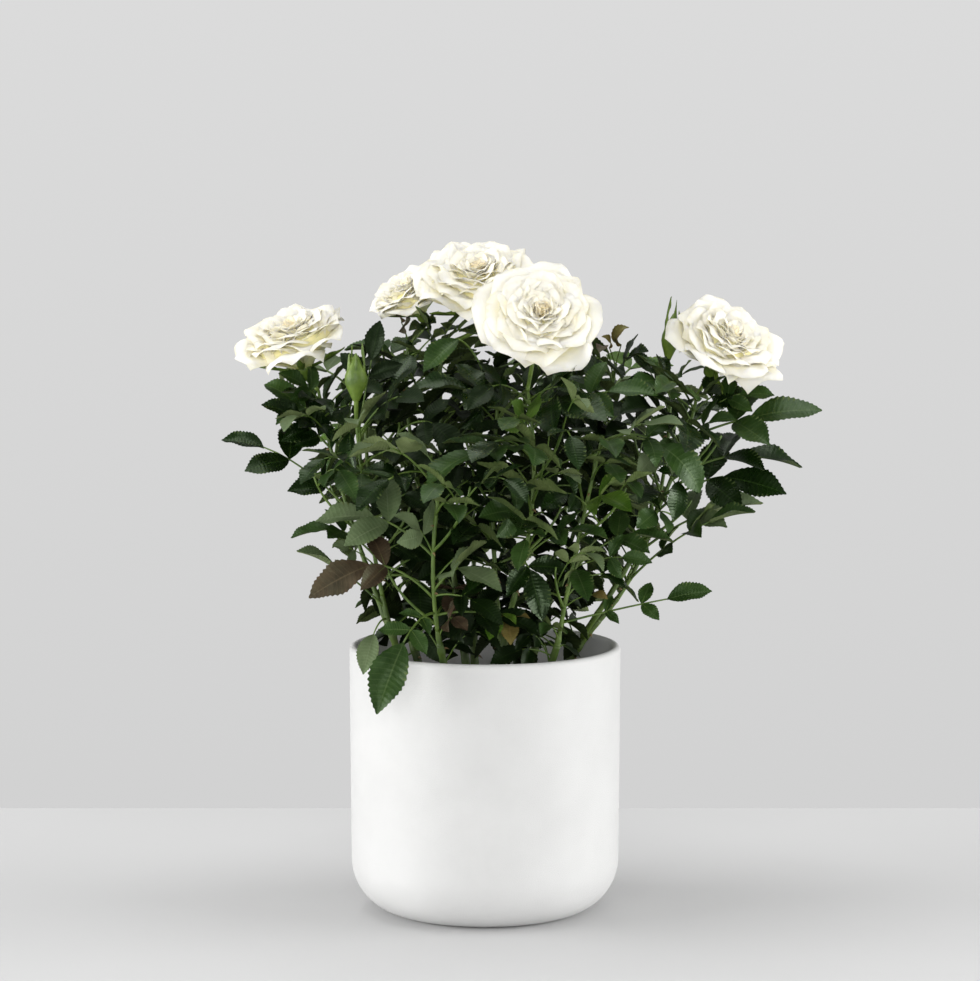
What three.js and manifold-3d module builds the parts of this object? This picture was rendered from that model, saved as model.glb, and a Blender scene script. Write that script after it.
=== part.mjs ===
// Miniature white rose bush in a round ceramic pot.
// Millimetres, +Z up, +Y towards the back. The origin is the centre of the pot's flat underside.
import * as THREE from 'three';
import { mergeVertices } from 'three/addons/utils/BufferGeometryUtils.js';
import Module from 'manifold-3d';

const wasm = await Module();
wasm.setup();

// ---------------------------------------------------------------- driving sizes

const POT = { radius: 65, height: 129, wall: 4.5, foot: 39, corner: 26, taper: 0.7, lip: 1.6, floor: 6 };
const SOIL = { top: 105, edge: 1.2 };
const JOINT_GAP = 0.3; // clear gap between two neighbouring pieces
const STEM = { foot: 2.7, fork: 2.0, flare: 0.55, flareHeight: 4 };
const BOUGH = { start: 1.8, end: 1.35 };
const TWIG = { start: 1.3, end: 1.0 };
const RACHIS = { start: 0.85, end: 0.6 };
const LEAF = { width: 0.54, thickness: 0.022, fold: 0.2, spread: 1.05 };
const PAIR_SIZE = { first: 0.8, less: 0.15 }; // shares of the end leaflet's length
const PAIRS_AT = [0.76, 0.42]; // where pairs of leaflets sit, as shares of the leaf stalk
const CLEARANCE = { leaf: 3.7, limb: 1.1, stalk: 2.4, rim: 2.5 };
const GROWTH = { divergence: 2.4, tries: 48, fiveFold: 0.25, seed: 1871 };
// The ways that the upper faces of leaves look: most at the front look forwards and up.
const FRONT_LEAN = [0, -0.7, 0.72];
const FORWARD = [0, -0.9, 0.45];
const LEVEL = [0, -0.3, 0.95];

// The space of the crown: at each height its radius, and how far it reaches to the left and right.
const CROWN = [
  [114, 46, 46, 46], [132, 62, 60, 58], [150, 78, 68, 72], [175, 92, 76, 90], [197, 104, 86, 98],
  [221, 115, 92, 115], [245, 124, 110, 135], [259, 108, 100, 115], [272, 72, 58, 75], [290, 46, 46, 50],
];

// Stems rise out of the soil from a foot to a fork.
const STEMS = {
  left: { foot: [-36, -28], fork: [-45, -33, 142] },
  front_left: { foot: [-17, -40], fork: [-21, -49, 136] },
  centre: { foot: [-8, -6], fork: [-13, 0, 148] },
  front: { foot: [7, -34], fork: [10, -40, 145] },
  front_right: { foot: [28, -31], fork: [34, -37, 134] },
  right: { foot: [34, 1], fork: [54, 0, 140] },
  back_right: { foot: [21, 28], fork: [30, 37, 140] },
  back: { foot: [-5, 36], fork: [-6, 46, 140] },
  back_left: { foot: [-30, 20], fork: [-41, 27, 140] },
};

// Each shoot grows from the tip of its stem, or from the stem's side, through a bend to its top.
// 'mass' is the share of the shoot where the bough ends and its mass of foliage starts.
const SHOOTS = {
  left_1: { stem: 'left', bend: [-54, -37, 190], top: [-60, -41, 240], mass: 0.16, leaves: 7 },
  left_2: { stem: 'left', side: 0.72, bend: [-66, -18, 200], top: [-79, -8, 252], mass: 0.3, leaves: 7 },
  front_left_1: { stem: 'front_left', bend: [-24, -57, 180], top: [-18, -58, 226], mass: 0.08, leaves: 8 },
  centre_1: { stem: 'centre', bend: [-20, 5, 215], top: [-21, 10, 272], mass: 0.3, leaves: 8 },
  centre_2: { stem: 'centre', side: 0.75, bend: [-34, 16, 215], top: [-37, 27, 272], mass: 0.35, leaves: 7 },
  front_1: { stem: 'front', bend: [22, -49, 202], top: [20, -36, 254], mass: 0.2, leaves: 8 },
  front_2: { stem: 'front', side: 0.7, bend: [4, -22, 190], top: [6, -16, 246], mass: 0.25, leaves: 8 },
  front_right_1: { stem: 'front_right', bend: [43, -42, 181], top: [55, -44, 234], mass: 0.08, leaves: 8 },
  right_1: { stem: 'right', bend: [80, 3, 186], top: [89, 15, 254], mass: 0.15, leaves: 8 },
  right_2: { stem: 'right', side: 0.78, bend: [82, -14, 196], top: [101, 2, 248], mass: 0.3, leaves: 8 },
  back_right_1: { stem: 'back_right', bend: [50, 33, 202], top: [63, 22, 262], mass: 0.25, leaves: 7 },
  back_right_2: {
    stem: 'back_right', side: 0.75, bend: [40, 56, 190], top: [48, 68, 240], mass: 0.25, leaves: 8,
  },
  back_1: { stem: 'back', bend: [-6, 64, 195], top: [-10, 76, 252], mass: 0.2, leaves: 9 },
  back_2: { stem: 'back', side: 0.75, bend: [16, 50, 200], top: [18, 46, 264], mass: 0.3, leaves: 8 },
  back_left_1: { stem: 'back_left', bend: [-57, 40, 190], top: [-68, 50, 240], mass: 0.2, leaves: 8 },
  back_left_2: {
    stem: 'back_left', side: 0.75, bend: [-54, 12, 196], top: [-56, 14, 246], mass: 0.3, leaves: 9,
  },
};

// Leaves that make the outline and the front: where each leaves its shoot, its tip, how high the
// leaf stalk arches, the length of the end leaflet and the number of pairs of leaflets below it.
// pairSize is the first pair's length as a share of the end leaflet's.
const PLACED_LEAVES = [
  {
    shoot: 'left_1', at: 0.45, tip: [-125, -15, 229], rise: 12, length: 26, pairs: 2, pairSize: 0.95,
    lean: [0.2, -0.6, 0.75],
  },
  { shoot: 'left_1', at: 0.36, tip: [-91, -45, 186], rise: 9, length: 24, pairs: 1, lean: LEVEL },
  { shoot: 'left_1', at: 0.93, tip: [-49, -30, 287], rise: 3, length: 22, pairs: 1 },
  { shoot: 'left_1', at: 0.8, tip: [-57, -66, 201], rise: 3, length: 24, pairs: 1, lean: FORWARD },
  { shoot: 'left_2', at: 0.72, tip: [-106, -25, 247], rise: 4, length: 25, pairs: 2, curl: 0.9 },
  { shoot: 'left_2', at: 0.9, tip: [-106, 4, 254], rise: -3, length: 22, pairs: 1, curl: 0.9 },
  { shoot: 'front_left_1', at: 0.18, tip: [-50, -79, 108], rise: 12, length: 28, pairs: 2, pairSize: 0.55 },
  { shoot: 'front_left_1', at: 0.26, tip: [-82, -62, 160], rise: 16, length: 34, pairs: 1, pairSize: 0.6 },
  { shoot: 'front_left_1', at: 0.3, tip: [8, -76, 165], rise: 12, length: 30, pairs: 1, lean: LEVEL },
  { shoot: 'front_left_1', at: 0.5, tip: [-42, -72, 200], rise: 6, length: 22, pairs: 1 },
  { shoot: 'front_left_1', at: 0.75, tip: [-21, -68, 217], rise: 4, length: 24, pairs: 0, lean: FORWARD },
  { shoot: 'front_left_1', at: 0.9, tip: [-41, -60, 237], rise: 4, length: 29, pairs: 0, lean: LEVEL },
  { shoot: 'front_2', at: 0.98, tip: [-29, -36, 263], rise: 24, length: 32, pairs: 0 },
  { shoot: 'centre_1', at: 0.85, tip: [-43, -40, 257], rise: 14, length: 24, pairs: 1, pairSize: 0.6 },
  { shoot: 'centre_2', at: 0.85, tip: [-50, -22, 257], rise: 8, length: 30, pairs: 1 },
  { shoot: 'front_1', at: 0.92, tip: [56, -76, 244], rise: 8, length: 34, pairs: 1, lean: [0.2, -0.8, 0.5] },
  { shoot: 'front_1', at: 0.8, tip: [12, -66, 252], rise: 3, length: 18, pairs: 1, lean: FORWARD },
  { shoot: 'front_1', at: 0.42, tip: [-3, -72, 199], rise: 6, length: 24, pairs: 1, lean: FORWARD },
  { shoot: 'front_1', at: 0.26, tip: [27, -56, 148], rise: 6, length: 24, pairs: 1 },
  { shoot: 'front_2', at: 0.92, tip: [-16, -46, 254], rise: 4, length: 24, pairs: 1, lean: FORWARD },
  { shoot: 'front_right_1', at: 0.12, tip: [107, -38, 160], rise: 1, length: 22, pairs: 2, pairSize: 0.6 },
  { shoot: 'front_right_1', at: 0.3, tip: [48, -66, 159], rise: 12, length: 24, pairs: 1 },
  { shoot: 'front_right_1', at: 0.4, tip: [78, -58, 176], rise: 4, length: 16, pairs: 1, lean: FORWARD },
  { shoot: 'front_right_1', at: 0.7, tip: [68, -68, 201], rise: 6, length: 22, pairs: 1 },
  {
    shoot: 'front_right_1', at: 0.97, tip: [102, -42, 205], rise: 14, length: 26, pairs: 1, pairSize: 0.7,
    curl: 1.4,
  },
  { shoot: 'back_right_1', at: 0.96, tip: [78, 0, 270], rise: 3, length: 20, pairs: 1 },
  { shoot: 'right_1', at: 0.24, tip: [128, -25, 196], rise: 8, length: 28, pairs: 2, lean: LEVEL },
  { shoot: 'right_1', at: 0.4, tip: [134, 10, 196], rise: 6, length: 33, pairs: 1, lean: LEVEL },
  { shoot: 'right_1', at: 0.55, tip: [144, -5, 202], rise: 13, length: 34, pairs: 1 },
  { shoot: 'right_2', at: 0.62, tip: [152, 2, 214], rise: 9, length: 33, pairs: 1, lean: LEVEL },
  {
    shoot: 'right_2', at: 0.8, tip: [160, -14, 243], rise: 4, length: 36, pairs: 1,
    lean: [-0.1, -0.5, 0.8],
  },
];

const BLOOMS = {
  bloom_left: { shoot: 'left_2', heart: [-91, -11, 279], face: [-0.28, -0.16, 0.95], width: 61 },
  bloom_top_left: { shoot: 'centre_2', heart: [-37, 28, 297], face: [-0.45, -0.3, 0.85], width: 46 },
  bloom_centre: { shoot: 'centre_1', heart: [-3, 4, 306], face: [-0.08, -0.45, 0.87], width: 66 },
  bloom_front: { shoot: 'front_1', heart: [26, -45, 291], face: [0.08, -0.8, 0.6], width: 63 },
  bloom_right: { shoot: 'right_2', heart: [116, -2, 276], face: [0.38, -0.5, 0.78], width: 61 },
};
const BUDS = {
  bud_left: { shoot: 'left_1', base: [-60, -44, 252], face: [0, -0.05, 1], length: 20, radius: 5.5 },
  bud_right: { shoot: 'right_1', base: [88, 18, 266], face: [0.12, 0, 1], length: 20, radius: 4.5 },
};

// ---------------------------------------------------------------- materials

const finish = (color, roughness) => new THREE.MeshStandardMaterial({ color, roughness, metalness: 0 });
const CERAMIC = finish(0xf2f1ef, 0.75);
const PEAT = finish(0x3a2c22, 0.95);
const BARK = finish(0x4f6b2f, 0.6);
const LEAVES = finish(0x3f5a34, 0.5);
const PETALS = finish(0xf4efe2, 0.6);
const BUD_GREEN = finish(0x6a7f3c, 0.55);

// ---------------------------------------------------------------- small helpers

const vector = (list) => new THREE.Vector3(...list);
const mix = (a, b, share) => a + (b - a) * share;

function makeRandom(seed) {
  let state = seed >>> 0;
  return () => {
    state = (state + 0x6d2b79f5) >>> 0;
    let bits = Math.imul(state ^ (state >>> 15), state | 1);
    bits ^= bits + Math.imul(bits ^ (bits >>> 7), bits | 61);
    return ((bits ^ (bits >>> 14)) >>> 0) / 4294967296;
  };
}

// The quadratic curve from start to end that passes through the bend half-way.
function curveThrough(start, bend, end) {
  const control = bend.clone().multiplyScalar(2).sub(start.clone().add(end).multiplyScalar(0.5));
  return new THREE.QuadraticBezierCurve3(start, control, end);
}

function geometryFrom(points, triangles) {
  const geometry = new THREE.BufferGeometry();
  geometry.setAttribute('position', new THREE.Float32BufferAttribute(points.flatMap((p) => p.toArray()), 3));
  geometry.setIndex(triangles.flat());
  return geometry;
}

// Leaves only the positions of a geometry and closes its seams.
function sealed(geometry) {
  geometry.deleteAttribute('normal');
  geometry.deleteAttribute('uv');
  return mergeVertices(geometry, 1e-4);
}

// Turns a sealed geometry into a solid, with its faces pointing outwards.
function solidFrom(geometry) {
  const vertProperties = new Float32Array(geometry.attributes.position.array);
  const corner = (i) => new THREE.Vector3().fromArray(vertProperties, 3 * i);
  const triangles = [];
  let volume = 0;
  for (let i = 0; i < geometry.index.count; i += 3) {
    const [a, b, c] = [0, 1, 2].map((k) => geometry.index.getX(i + k));
    if (a === b || b === c || c === a) continue;
    triangles.push([a, b, c]);
    volume += corner(a).dot(corner(b).cross(corner(c)));
  }
  const outward = volume > 0 ? triangles : triangles.map(([a, b, c]) => [a, c, b]);
  const triVerts = new Uint32Array(outward.flat());
  return new wasm.Manifold(new wasm.Mesh({ numProp: 3, vertProperties, triVerts }));
}

function geometryOf(solid) {
  const { vertProperties, triVerts } = solid.getMesh();
  const geometry = new THREE.BufferGeometry();
  geometry.setAttribute('position', new THREE.BufferAttribute(new Float32Array(vertProperties), 3));
  geometry.setIndex(new THREE.BufferAttribute(new Uint32Array(triVerts), 1));
  geometry.computeVertexNormals();
  return geometry;
}

// Joins overlapping geometries into one body.
function fused(geometries) {
  return geometryOf(wasm.Manifold.union(geometries.map(solidFrom)));
}

const plant = new THREE.Group();

function addMesh(name, geometry, material) {
  const mesh = new THREE.Mesh(geometry, material);
  mesh.name = name;
  plant.add(mesh);
}

// ---------------------------------------------------------------- limbs

// A round limb along part of a curve. radius(share) gives its radius, and startPlane is the
// normal of its first end where that end isn't square to the curve.
function limb(curve, from, to, radius, options = {}) {
  const { sides = 6, steps = 5, startPlane = null, across = [0, 1, 0] } = options;
  const geometry = sealed(new THREE.CylinderGeometry(1, 1, 1, sides, steps));
  const position = geometry.attributes.position;
  for (let i = 0; i < position.count; i++) {
    const share = position.getY(i) + 0.5;
    const t = mix(from, to, share);
    const along = curve.getTangent(t);
    if (startPlane && share < 1e-6) along.copy(startPlane);
    const side = vector(across).cross(along).normalize();
    const normal = along.clone().cross(side);
    const point = curve.getPoint(t);
    point.addScaledVector(side, position.getX(i) * radius(share));
    point.addScaledVector(normal, position.getZ(i) * radius(share));
    position.setXYZ(i, ...point.toArray());
  }
  return geometry;
}

const tapered = (start, end) => (share) => mix(start, end, share);

function stemCurve({ foot, fork }) {
  const start = new THREE.Vector3(foot[0], foot[1], SOIL.top + JOINT_GAP);
  const end = vector(fork);
  const middle = start.clone().lerp(end, 0.5);
  middle.x = mix(start.x, end.x, 0.38);
  middle.y = mix(start.y, end.y, 0.38);
  return curveThrough(start, middle, end);
}

function stemRadius(share, length) {
  const flare = STEM.flare * Math.exp((-share * length) / STEM.flareHeight);
  return mix(STEM.foot, STEM.fork, share) * (1 + flare);
}

const stemCurves = {};
for (const [name, stem] of Object.entries(STEMS)) {
  const curve = stemCurve(stem);
  stemCurves[name] = curve;
  const length = curve.getLength();
  const radius = (share) => stemRadius(share, length);
  const ground = new THREE.Vector3(0, 0, 1);
  const geometry = limb(curve, 0, 1, radius, { sides: 6, steps: 4, startPlane: ground });
  addMesh(`stem_${name}`, geometryOf(solidFrom(geometry)), BARK);
}

// Where a shoot leaves its stem: straight on from the tip, or a lateral off the side.
function shootStart({ stem, side, bend }) {
  const curve = stemCurves[stem];
  const at = side ?? 1;
  const tangent = curve.getTangent(at);
  const point = curve.getPoint(at);
  if (side === undefined) return { point: point.addScaledVector(tangent, JOINT_GAP), plane: tangent };
  const outward = vector(bend).sub(point);
  outward.addScaledVector(tangent, -outward.dot(tangent)).normalize();
  const reach = stemRadius(at, curve.getLength()) + JOINT_GAP;
  return { point: point.addScaledVector(outward, reach), plane: outward };
}

const shoots = {};
for (const [name, shoot] of Object.entries(SHOOTS)) {
  const start = shootStart(shoot);
  const curve = curveThrough(start.point, vector(shoot.bend), vector(shoot.top));
  const near = curve.getPoint(shoot.mass);
  const gap = (0.01 * JOINT_GAP) / near.distanceTo(curve.getPoint(shoot.mass + 0.01));
  shoots[name] = { name, ...shoot, curve, from: shoot.mass + gap };
  const radius = tapered(BOUGH.start, BOUGH.end);
  const bough = limb(curve, 0, shoot.mass, radius, { sides: 5, steps: 2, startPlane: start.plane });
  addMesh(`bough_${name}`, geometryOf(solidFrom(bough)), BARK);
}

// ---------------------------------------------------------------- leaves

// Half the width of a leaflet at a share of its length: rounded at the base, pointed at the tip.
const leafProfile = (share) => Math.sin(Math.PI * share ** 0.78);

// A point of a leaflet's blade: share runs from its base to its tip, across from -1 to 1.
function leafletPoint(leaflet, share, across) {
  const { base, along, side, normal, length, curl, width } = leaflet;
  const turn = curl * share;
  const half = across * 0.5 * width * leafProfile(share);
  const lift = Math.abs(half) * Math.sin(LEAF.fold);
  const forward = (length / curl) * Math.sin(turn) + lift * Math.sin(turn);
  const drop = (length / curl) * (1 - Math.cos(turn)) - lift * Math.cos(turn);
  return base.clone()
    .addScaledVector(along, forward)
    .addScaledVector(normal, -drop)
    .addScaledVector(side, half * Math.cos(LEAF.fold));
}

// The leaf stalk is two straight lengths, from the shoot and to the end leaflet.
function pointOnStalk(curve, stalkEnd, share) {
  const lengths = 2;
  const first = Math.min(lengths - 1, Math.floor(share * lengths));
  const [low, high] = [first, first + 1].map((i) => curve.getPoint((stalkEnd * i) / lengths));
  return low.lerp(high, share * lengths - first);
}

// A compound leaf: a leaf stalk that arches from the shoot to the end leaflet, with pairs below.
function planLeaf(start, leaf) {
  const { tip, rise, length, pairs, lean = FRONT_LEAN, curl = 0.45, pairSize = PAIR_SIZE.first } = leaf;
  const end = vector(tip);
  const middle = start.clone().lerp(end, 0.5).add(new THREE.Vector3(0, 0, rise));
  const curve = curveThrough(start, middle, end);
  const stalkEnd = Math.max(0.3, 1 - length / curve.getLength());
  const leaflets = [];
  const addLeaflet = (base, tangent, turn, size) => {
    const side = vector(lean).cross(tangent).normalize();
    const along = tangent.clone().multiplyScalar(Math.cos(turn)).addScaledVector(side, Math.sin(turn));
    const across = tangent.clone().cross(side).cross(along);
    along.applyAxisAngle(across, -0.5 * curl);
    const normal = along.clone().cross(across);
    leaflets.push({ base, along, side: across, normal, length: size, width: size * LEAF.width, curl });
  };
  const joint = curve.getPoint(stalkEnd);
  const onward = end.clone().sub(joint);
  addLeaflet(joint, onward.clone().normalize(), 0, onward.length());
  for (let pair = 0; pair < pairs; pair++) {
    const t = stalkEnd * PAIRS_AT[pair];
    const base = pointOnStalk(curve, stalkEnd, PAIRS_AT[pair]);
    const size = length * (pairSize - PAIR_SIZE.less * pair);
    for (const turn of [LEAF.spread, -LEAF.spread]) {
      addLeaflet(base, curve.getTangent(t), turn, size);
    }
  }
  return { curve, stalkEnd, leaflets, lean };
}

// ---------------------------------------------------------------- keeping clear

const CELL = 6;
const cells = new Map();
const balls = [];
const cellKey = (x, y, z) => `${x},${y},${z}`;

function occupy(point, radius, owner) {
  const key = cellKey(...point.toArray().map((v) => Math.floor(v / CELL)));
  if (!cells.has(key)) cells.set(key, []);
  cells.get(key).push({ point, radius, owner });
}

function isClear(point, gap, ignore) {
  const [cx, cy, cz] = point.toArray().map((v) => Math.floor(v / CELL));
  for (let x = cx - 1; x <= cx + 1; x++) {
    for (let y = cy - 1; y <= cy + 1; y++) {
      for (let z = cz - 1; z <= cz + 1; z++) {
        for (const other of cells.get(cellKey(x, y, z)) ?? []) {
          if (other.owner === ignore) continue;
          if (other.point.distanceTo(point) < gap + other.radius) return false;
        }
      }
    }
  }
  return balls.every((ball) => ball.point.distanceTo(point) > ball.radius + gap);
}

// The rim and the wall of the pot, and the soil inside it.
function isOffPot(point) {
  const radius = Math.hypot(point.x, point.y);
  if (point.z > POT.height + CLEARANCE.rim) return true;
  if (radius > POT.radius + CLEARANCE.rim) return true;
  return radius < POT.radius - POT.wall - CLEARANCE.rim && point.z > SOIL.top + CLEARANCE.rim;
}

function isInCrown({ x, y, z }) {
  const upper = Math.max(1, CROWN.findIndex(([height]) => height > z));
  const [low, high] = [CROWN[upper - 1], CROWN[upper]];
  if (z > CROWN[CROWN.length - 1][0]) return false;
  const share = Math.max(0, (z - low[0]) / (high[0] - low[0]));
  const [radius, left, right] = [1, 2, 3].map((column) => mix(low[column], high[column], share));
  return Math.hypot(x, y) < radius && x > -left && x < right;
}

function leafSamples(leaf) {
  const blades = [];
  for (const leaflet of leaf.leaflets) {
    for (let i = 1; i <= 8; i++) {
      for (const across of [-0.9, -0.45, 0, 0.45, 0.9]) blades.push(leafletPoint(leaflet, i / 8, across));
    }
  }
  const stalk = [];
  for (let i = 1; i <= 15; i++) stalk.push(pointOnStalk(leaf.curve, leaf.stalkEnd, i / 15));
  return { blades, stalk };
}

function fits({ blades, stalk }, leaf, shoot) {
  if (!leaf.leaflets.every((leaflet) => isInCrown(leafletPoint(leaflet, 1, 0)))) return false;
  if (!blades.every((p) => isOffPot(p) && isClear(p, CLEARANCE.leaf))) return false;
  return stalk.every((p, i) => isClear(p, CLEARANCE.stalk, i < 5 ? shoot : undefined));
}

const masses = Object.fromEntries(Object.keys(SHOOTS).map((name) => [name, []]));

function keepLeaf(name, leaf, { blades, stalk } = leafSamples(leaf)) {
  masses[name].push(leaf);
  for (const point of blades) occupy(point, 0, name);
  for (const point of stalk) occupy(point, RACHIS.start, name);
}

function occupyCurve(curve, owner) {
  const count = Math.ceil(curve.getLength() / 3);
  for (let i = 0; i <= count; i++) occupy(curve.getPoint(i / count), CLEARANCE.limb, owner);
}

// Limbs, flower heads and buds are there before the leaves.
for (const [name, curve] of Object.entries(stemCurves)) occupyCurve(curve, name);
for (const { name, curve } of Object.values(shoots)) occupyCurve(curve, name);

// The stalk of a flower or bud goes on from the top of its shoot and turns to the way it faces.
function stalkCurve(shoot, base, face) {
  const { curve } = shoots[shoot];
  const start = curve.getPoint(1).addScaledVector(curve.getTangent(1), JOINT_GAP);
  const control = base.clone().addScaledVector(face, -0.4 * start.distanceTo(base));
  return new THREE.QuadraticBezierCurve3(start, control, base);
}

for (const bloom of Object.values(BLOOMS)) {
  bloom.face = vector(bloom.face).normalize();
  const heart = vector(bloom.heart);
  bloom.base = heart.clone().addScaledVector(bloom.face, -0.3 * bloom.width);
  bloom.hip = heart.clone().addScaledVector(bloom.face, -0.35 * bloom.width);
  bloom.stalk = stalkCurve(bloom.shoot, bloom.hip, bloom.face);
  occupyCurve(bloom.stalk, bloom.shoot);
  balls.push({ point: heart.addScaledVector(bloom.face, -0.04 * bloom.width), radius: 0.5 * bloom.width });
}
for (const bud of Object.values(BUDS)) {
  bud.face = vector(bud.face).normalize();
  bud.base = vector(bud.base);
  bud.stalk = stalkCurve(bud.shoot, bud.base, bud.face);
  occupyCurve(bud.stalk, bud.shoot);
  const middle = bud.base.clone().addScaledVector(bud.face, 0.4 * bud.length);
  balls.push({ point: middle, radius: 0.6 * bud.length });
}

for (const placed of PLACED_LEAVES) {
  const start = shoots[placed.shoot].curve.getPoint(placed.at);
  keepLeaf(placed.shoot, planLeaf(start, placed));
}

// One more leaf at a share of the shoot: the first of a few seeded tries that keeps clear.
function growLeaf(shoot, index, order) {
  const random = makeRandom(GROWTH.seed + 101 * order + 7 * index);
  const t = mix(shoot.from + 0.03, 0.97, (index + 0.5) / shoot.leaves);
  const start = shoot.curve.getPoint(t);
  const first = GROWTH.divergence * index + order;
  for (let attempt = 0; attempt < GROWTH.tries; attempt++) {
    const heading = first + (random() - 0.5) * (0.5 + 0.35 * attempt);
    const slope = mix(-0.75, 0.2, random()) + 0.3 * t;
    const share = Math.min(1, mix(0.6, 1, 2.2 * t)) * mix(1, 0.8, t);
    const size = (attempt < GROWTH.tries / 2 ? 1 : 0.78) * share;
    const reach = mix(60, 78, random()) * size;
    const length = mix(30, 37, random()) * size;
    const rise = mix(5, 13, random());
    const curl = mix(0.25, 0.7, random());
    const pairs = random() < GROWTH.fiveFold ? 2 : 1;
    const level = reach * Math.cos(slope);
    const tip = [
      start.x + level * Math.cos(heading),
      start.y + level * Math.sin(heading),
      start.z + reach * Math.sin(slope),
    ];
    const outward = mix(0.35, 0.9, random()) / Math.max(40, Math.hypot(tip[0], tip[1]));
    const sway = mix(-0.35, 0.35, random());
    const lean = [
      outward * tip[0] - sway * Math.sin(heading), outward * tip[1] + sway * Math.cos(heading), 0.8,
    ];
    const leaf = planLeaf(start, { tip, rise, length, pairs, lean, curl });
    const samples = leafSamples(leaf);
    if (fits(samples, leaf, shoot.name)) {
      keepLeaf(shoot.name, leaf, samples);
      return;
    }
  }
}

const mostLeaves = Math.max(...Object.values(SHOOTS).map((shoot) => shoot.leaves));
for (let index = 0; index < mostLeaves; index++) {
  Object.values(shoots).forEach((shoot, order) => {
    if (index < shoot.leaves) growLeaf(shoot, index, order);
  });
}

// ---------------------------------------------------------------- masses of foliage

const THIRD = (2 * Math.PI) / 3;
const END_OUTLINE = [[0.26, 1], [0.66, 1], [1, 0], [0.66, -1], [0.26, -1]];
const SIDE_OUTLINE = [[0.4, 1], [1, 0], [0.4, -1]];

// The outline of a leaflet, then the middle of its upper and of its lower face.
function bladePoints(leaflet, outline) {
  const middle = leafletPoint(leaflet, 0.42, 0);
  const half = 0.5 * LEAF.thickness * leaflet.length;
  return [
    ...outline.map(([share, across]) => leafletPoint(leaflet, share, across)),
    middle.clone().addScaledVector(leaflet.normal, half),
    middle.clone().addScaledVector(leaflet.normal, -half),
  ];
}

// Fans from the middles of both faces to the corners round them.
function bladeTriangles(upperLoop, lowerLoop, top, bottom) {
  const after = (loop, i) => loop[(i + 1) % loop.length];
  return [
    ...upperLoop.map((corner, i) => [after(upperLoop, i), corner, top]),
    ...lowerLoop.map((corner, i) => [corner, after(lowerLoop, i), bottom]),
  ];
}

// A side leaflet: a thin lens whose base is inside the leaf stalk.
function sideLeaflet(leaflet) {
  const outline = [[0, 0], ...SIDE_OUTLINE];
  const loop = outline.map((_, i) => i);
  const middle = outline.length;
  return geometryFrom(bladePoints(leaflet, outline), bladeTriangles(loop, loop, middle, middle + 1));
}

// The three-sided leaf stalk, which widens at its end into the end leaflet.
function stalkAndEndLeaflet({ curve, stalkEnd, leaflets: [end], lean }) {
  const shares = [0, 0.5, 1];
  const steps = shares.length - 1;
  const points = [];
  const triangles = [[0, 2, 1]];
  shares.forEach((share, ring) => {
    const centre = curve.getPoint(stalkEnd * share);
    const tangent = curve.getTangent(stalkEnd * share);
    const side = vector(lean).cross(tangent).normalize();
    const below = side.clone().cross(tangent);
    const radius = mix(RACHIS.start, RACHIS.end, share);
    for (const turn of [THIRD, -THIRD, 0]) {
      points.push(below.clone().applyAxisAngle(tangent, turn).multiplyScalar(radius).add(centre));
    }
    for (let k = 0; k < 3 && ring < steps; k++) {
      const [a, b] = [3 * ring + k, 3 * ring + ((k + 1) % 3)];
      triangles.push([a, b, b + 3], [a, b + 3, a + 3]);
    }
  });
  const [left, right, under] = [3 * steps, 3 * steps + 1, 3 * steps + 2];
  const outline = END_OUTLINE.map((_, i) => under + 1 + i);
  const top = under + 1 + END_OUTLINE.length;
  points.push(...bladePoints(end, END_OUTLINE));
  const loop = [left, ...outline, right];
  triangles.push(...bladeTriangles(loop, [...loop, under], top, top + 1));
  return geometryFrom(points, triangles);
}

const leafGeometries = (leaf) => [stalkAndEndLeaflet(leaf), ...leaf.leaflets.slice(1).map(sideLeaflet)];

for (const { name, curve, from } of Object.values(shoots)) {
  const twig = limb(curve, from, 1, tapered(TWIG.start, TWIG.end), { sides: 5, steps: 6 });
  addMesh(`foliage_${name}`, fused([twig, ...masses[name].flatMap(leafGeometries)]), LEAVES);
}

// ---------------------------------------------------------------- flowers and buds

// The frame of a flower, whose +Z is the way that the flower faces.
function flowerFrame({ base, face }) {
  const turn = new THREE.Quaternion().setFromUnitVectors(new THREE.Vector3(0, 0, 1), face);
  return new THREE.Matrix4().compose(base, turn, new THREE.Vector3(1, 1, 1));
}

function latheUp(profile, segments) {
  const points = profile.map(([r, z]) => new THREE.Vector2(r, z));
  return sealed(new THREE.LatheGeometry(points, segments).rotateX(Math.PI / 2));
}

// The end of a flower stalk is sunk in the hip.
function stalkGeometry({ shoot, stalk }, radius) {
  const startPlane = shoots[shoot].curve.getTangent(1);
  return limb(stalk, 0, 1, tapered(TWIG.end, radius), { sides: 5, steps: 3, startPlane });
}

// Rings of an open flower from the hip outwards and back in to its heart: radius, height,
// how deep the notches between its petals are, and how far that whorl of petals is turned.
const PETALS_ROUND = 5;
const FLOWER_RINGS = [
  [0, -0.1, 0, 0], [0.055, -0.07, 0, 0], [0.06, -0.01, 0, 0], [0.17, 0.05, 0, 0], [0.36, 0.17, 0.08, 0],
  [0.5, 0.22, 0.2, 0], [0.3, 0.21, 0, 0.5], [0.37, 0.31, 0.2, 0.5], [0.24, 0.27, 0, 0.5],
  [0.24, 0.38, 0.16, 0], [0, 0.34, 0, 0],
];

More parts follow.
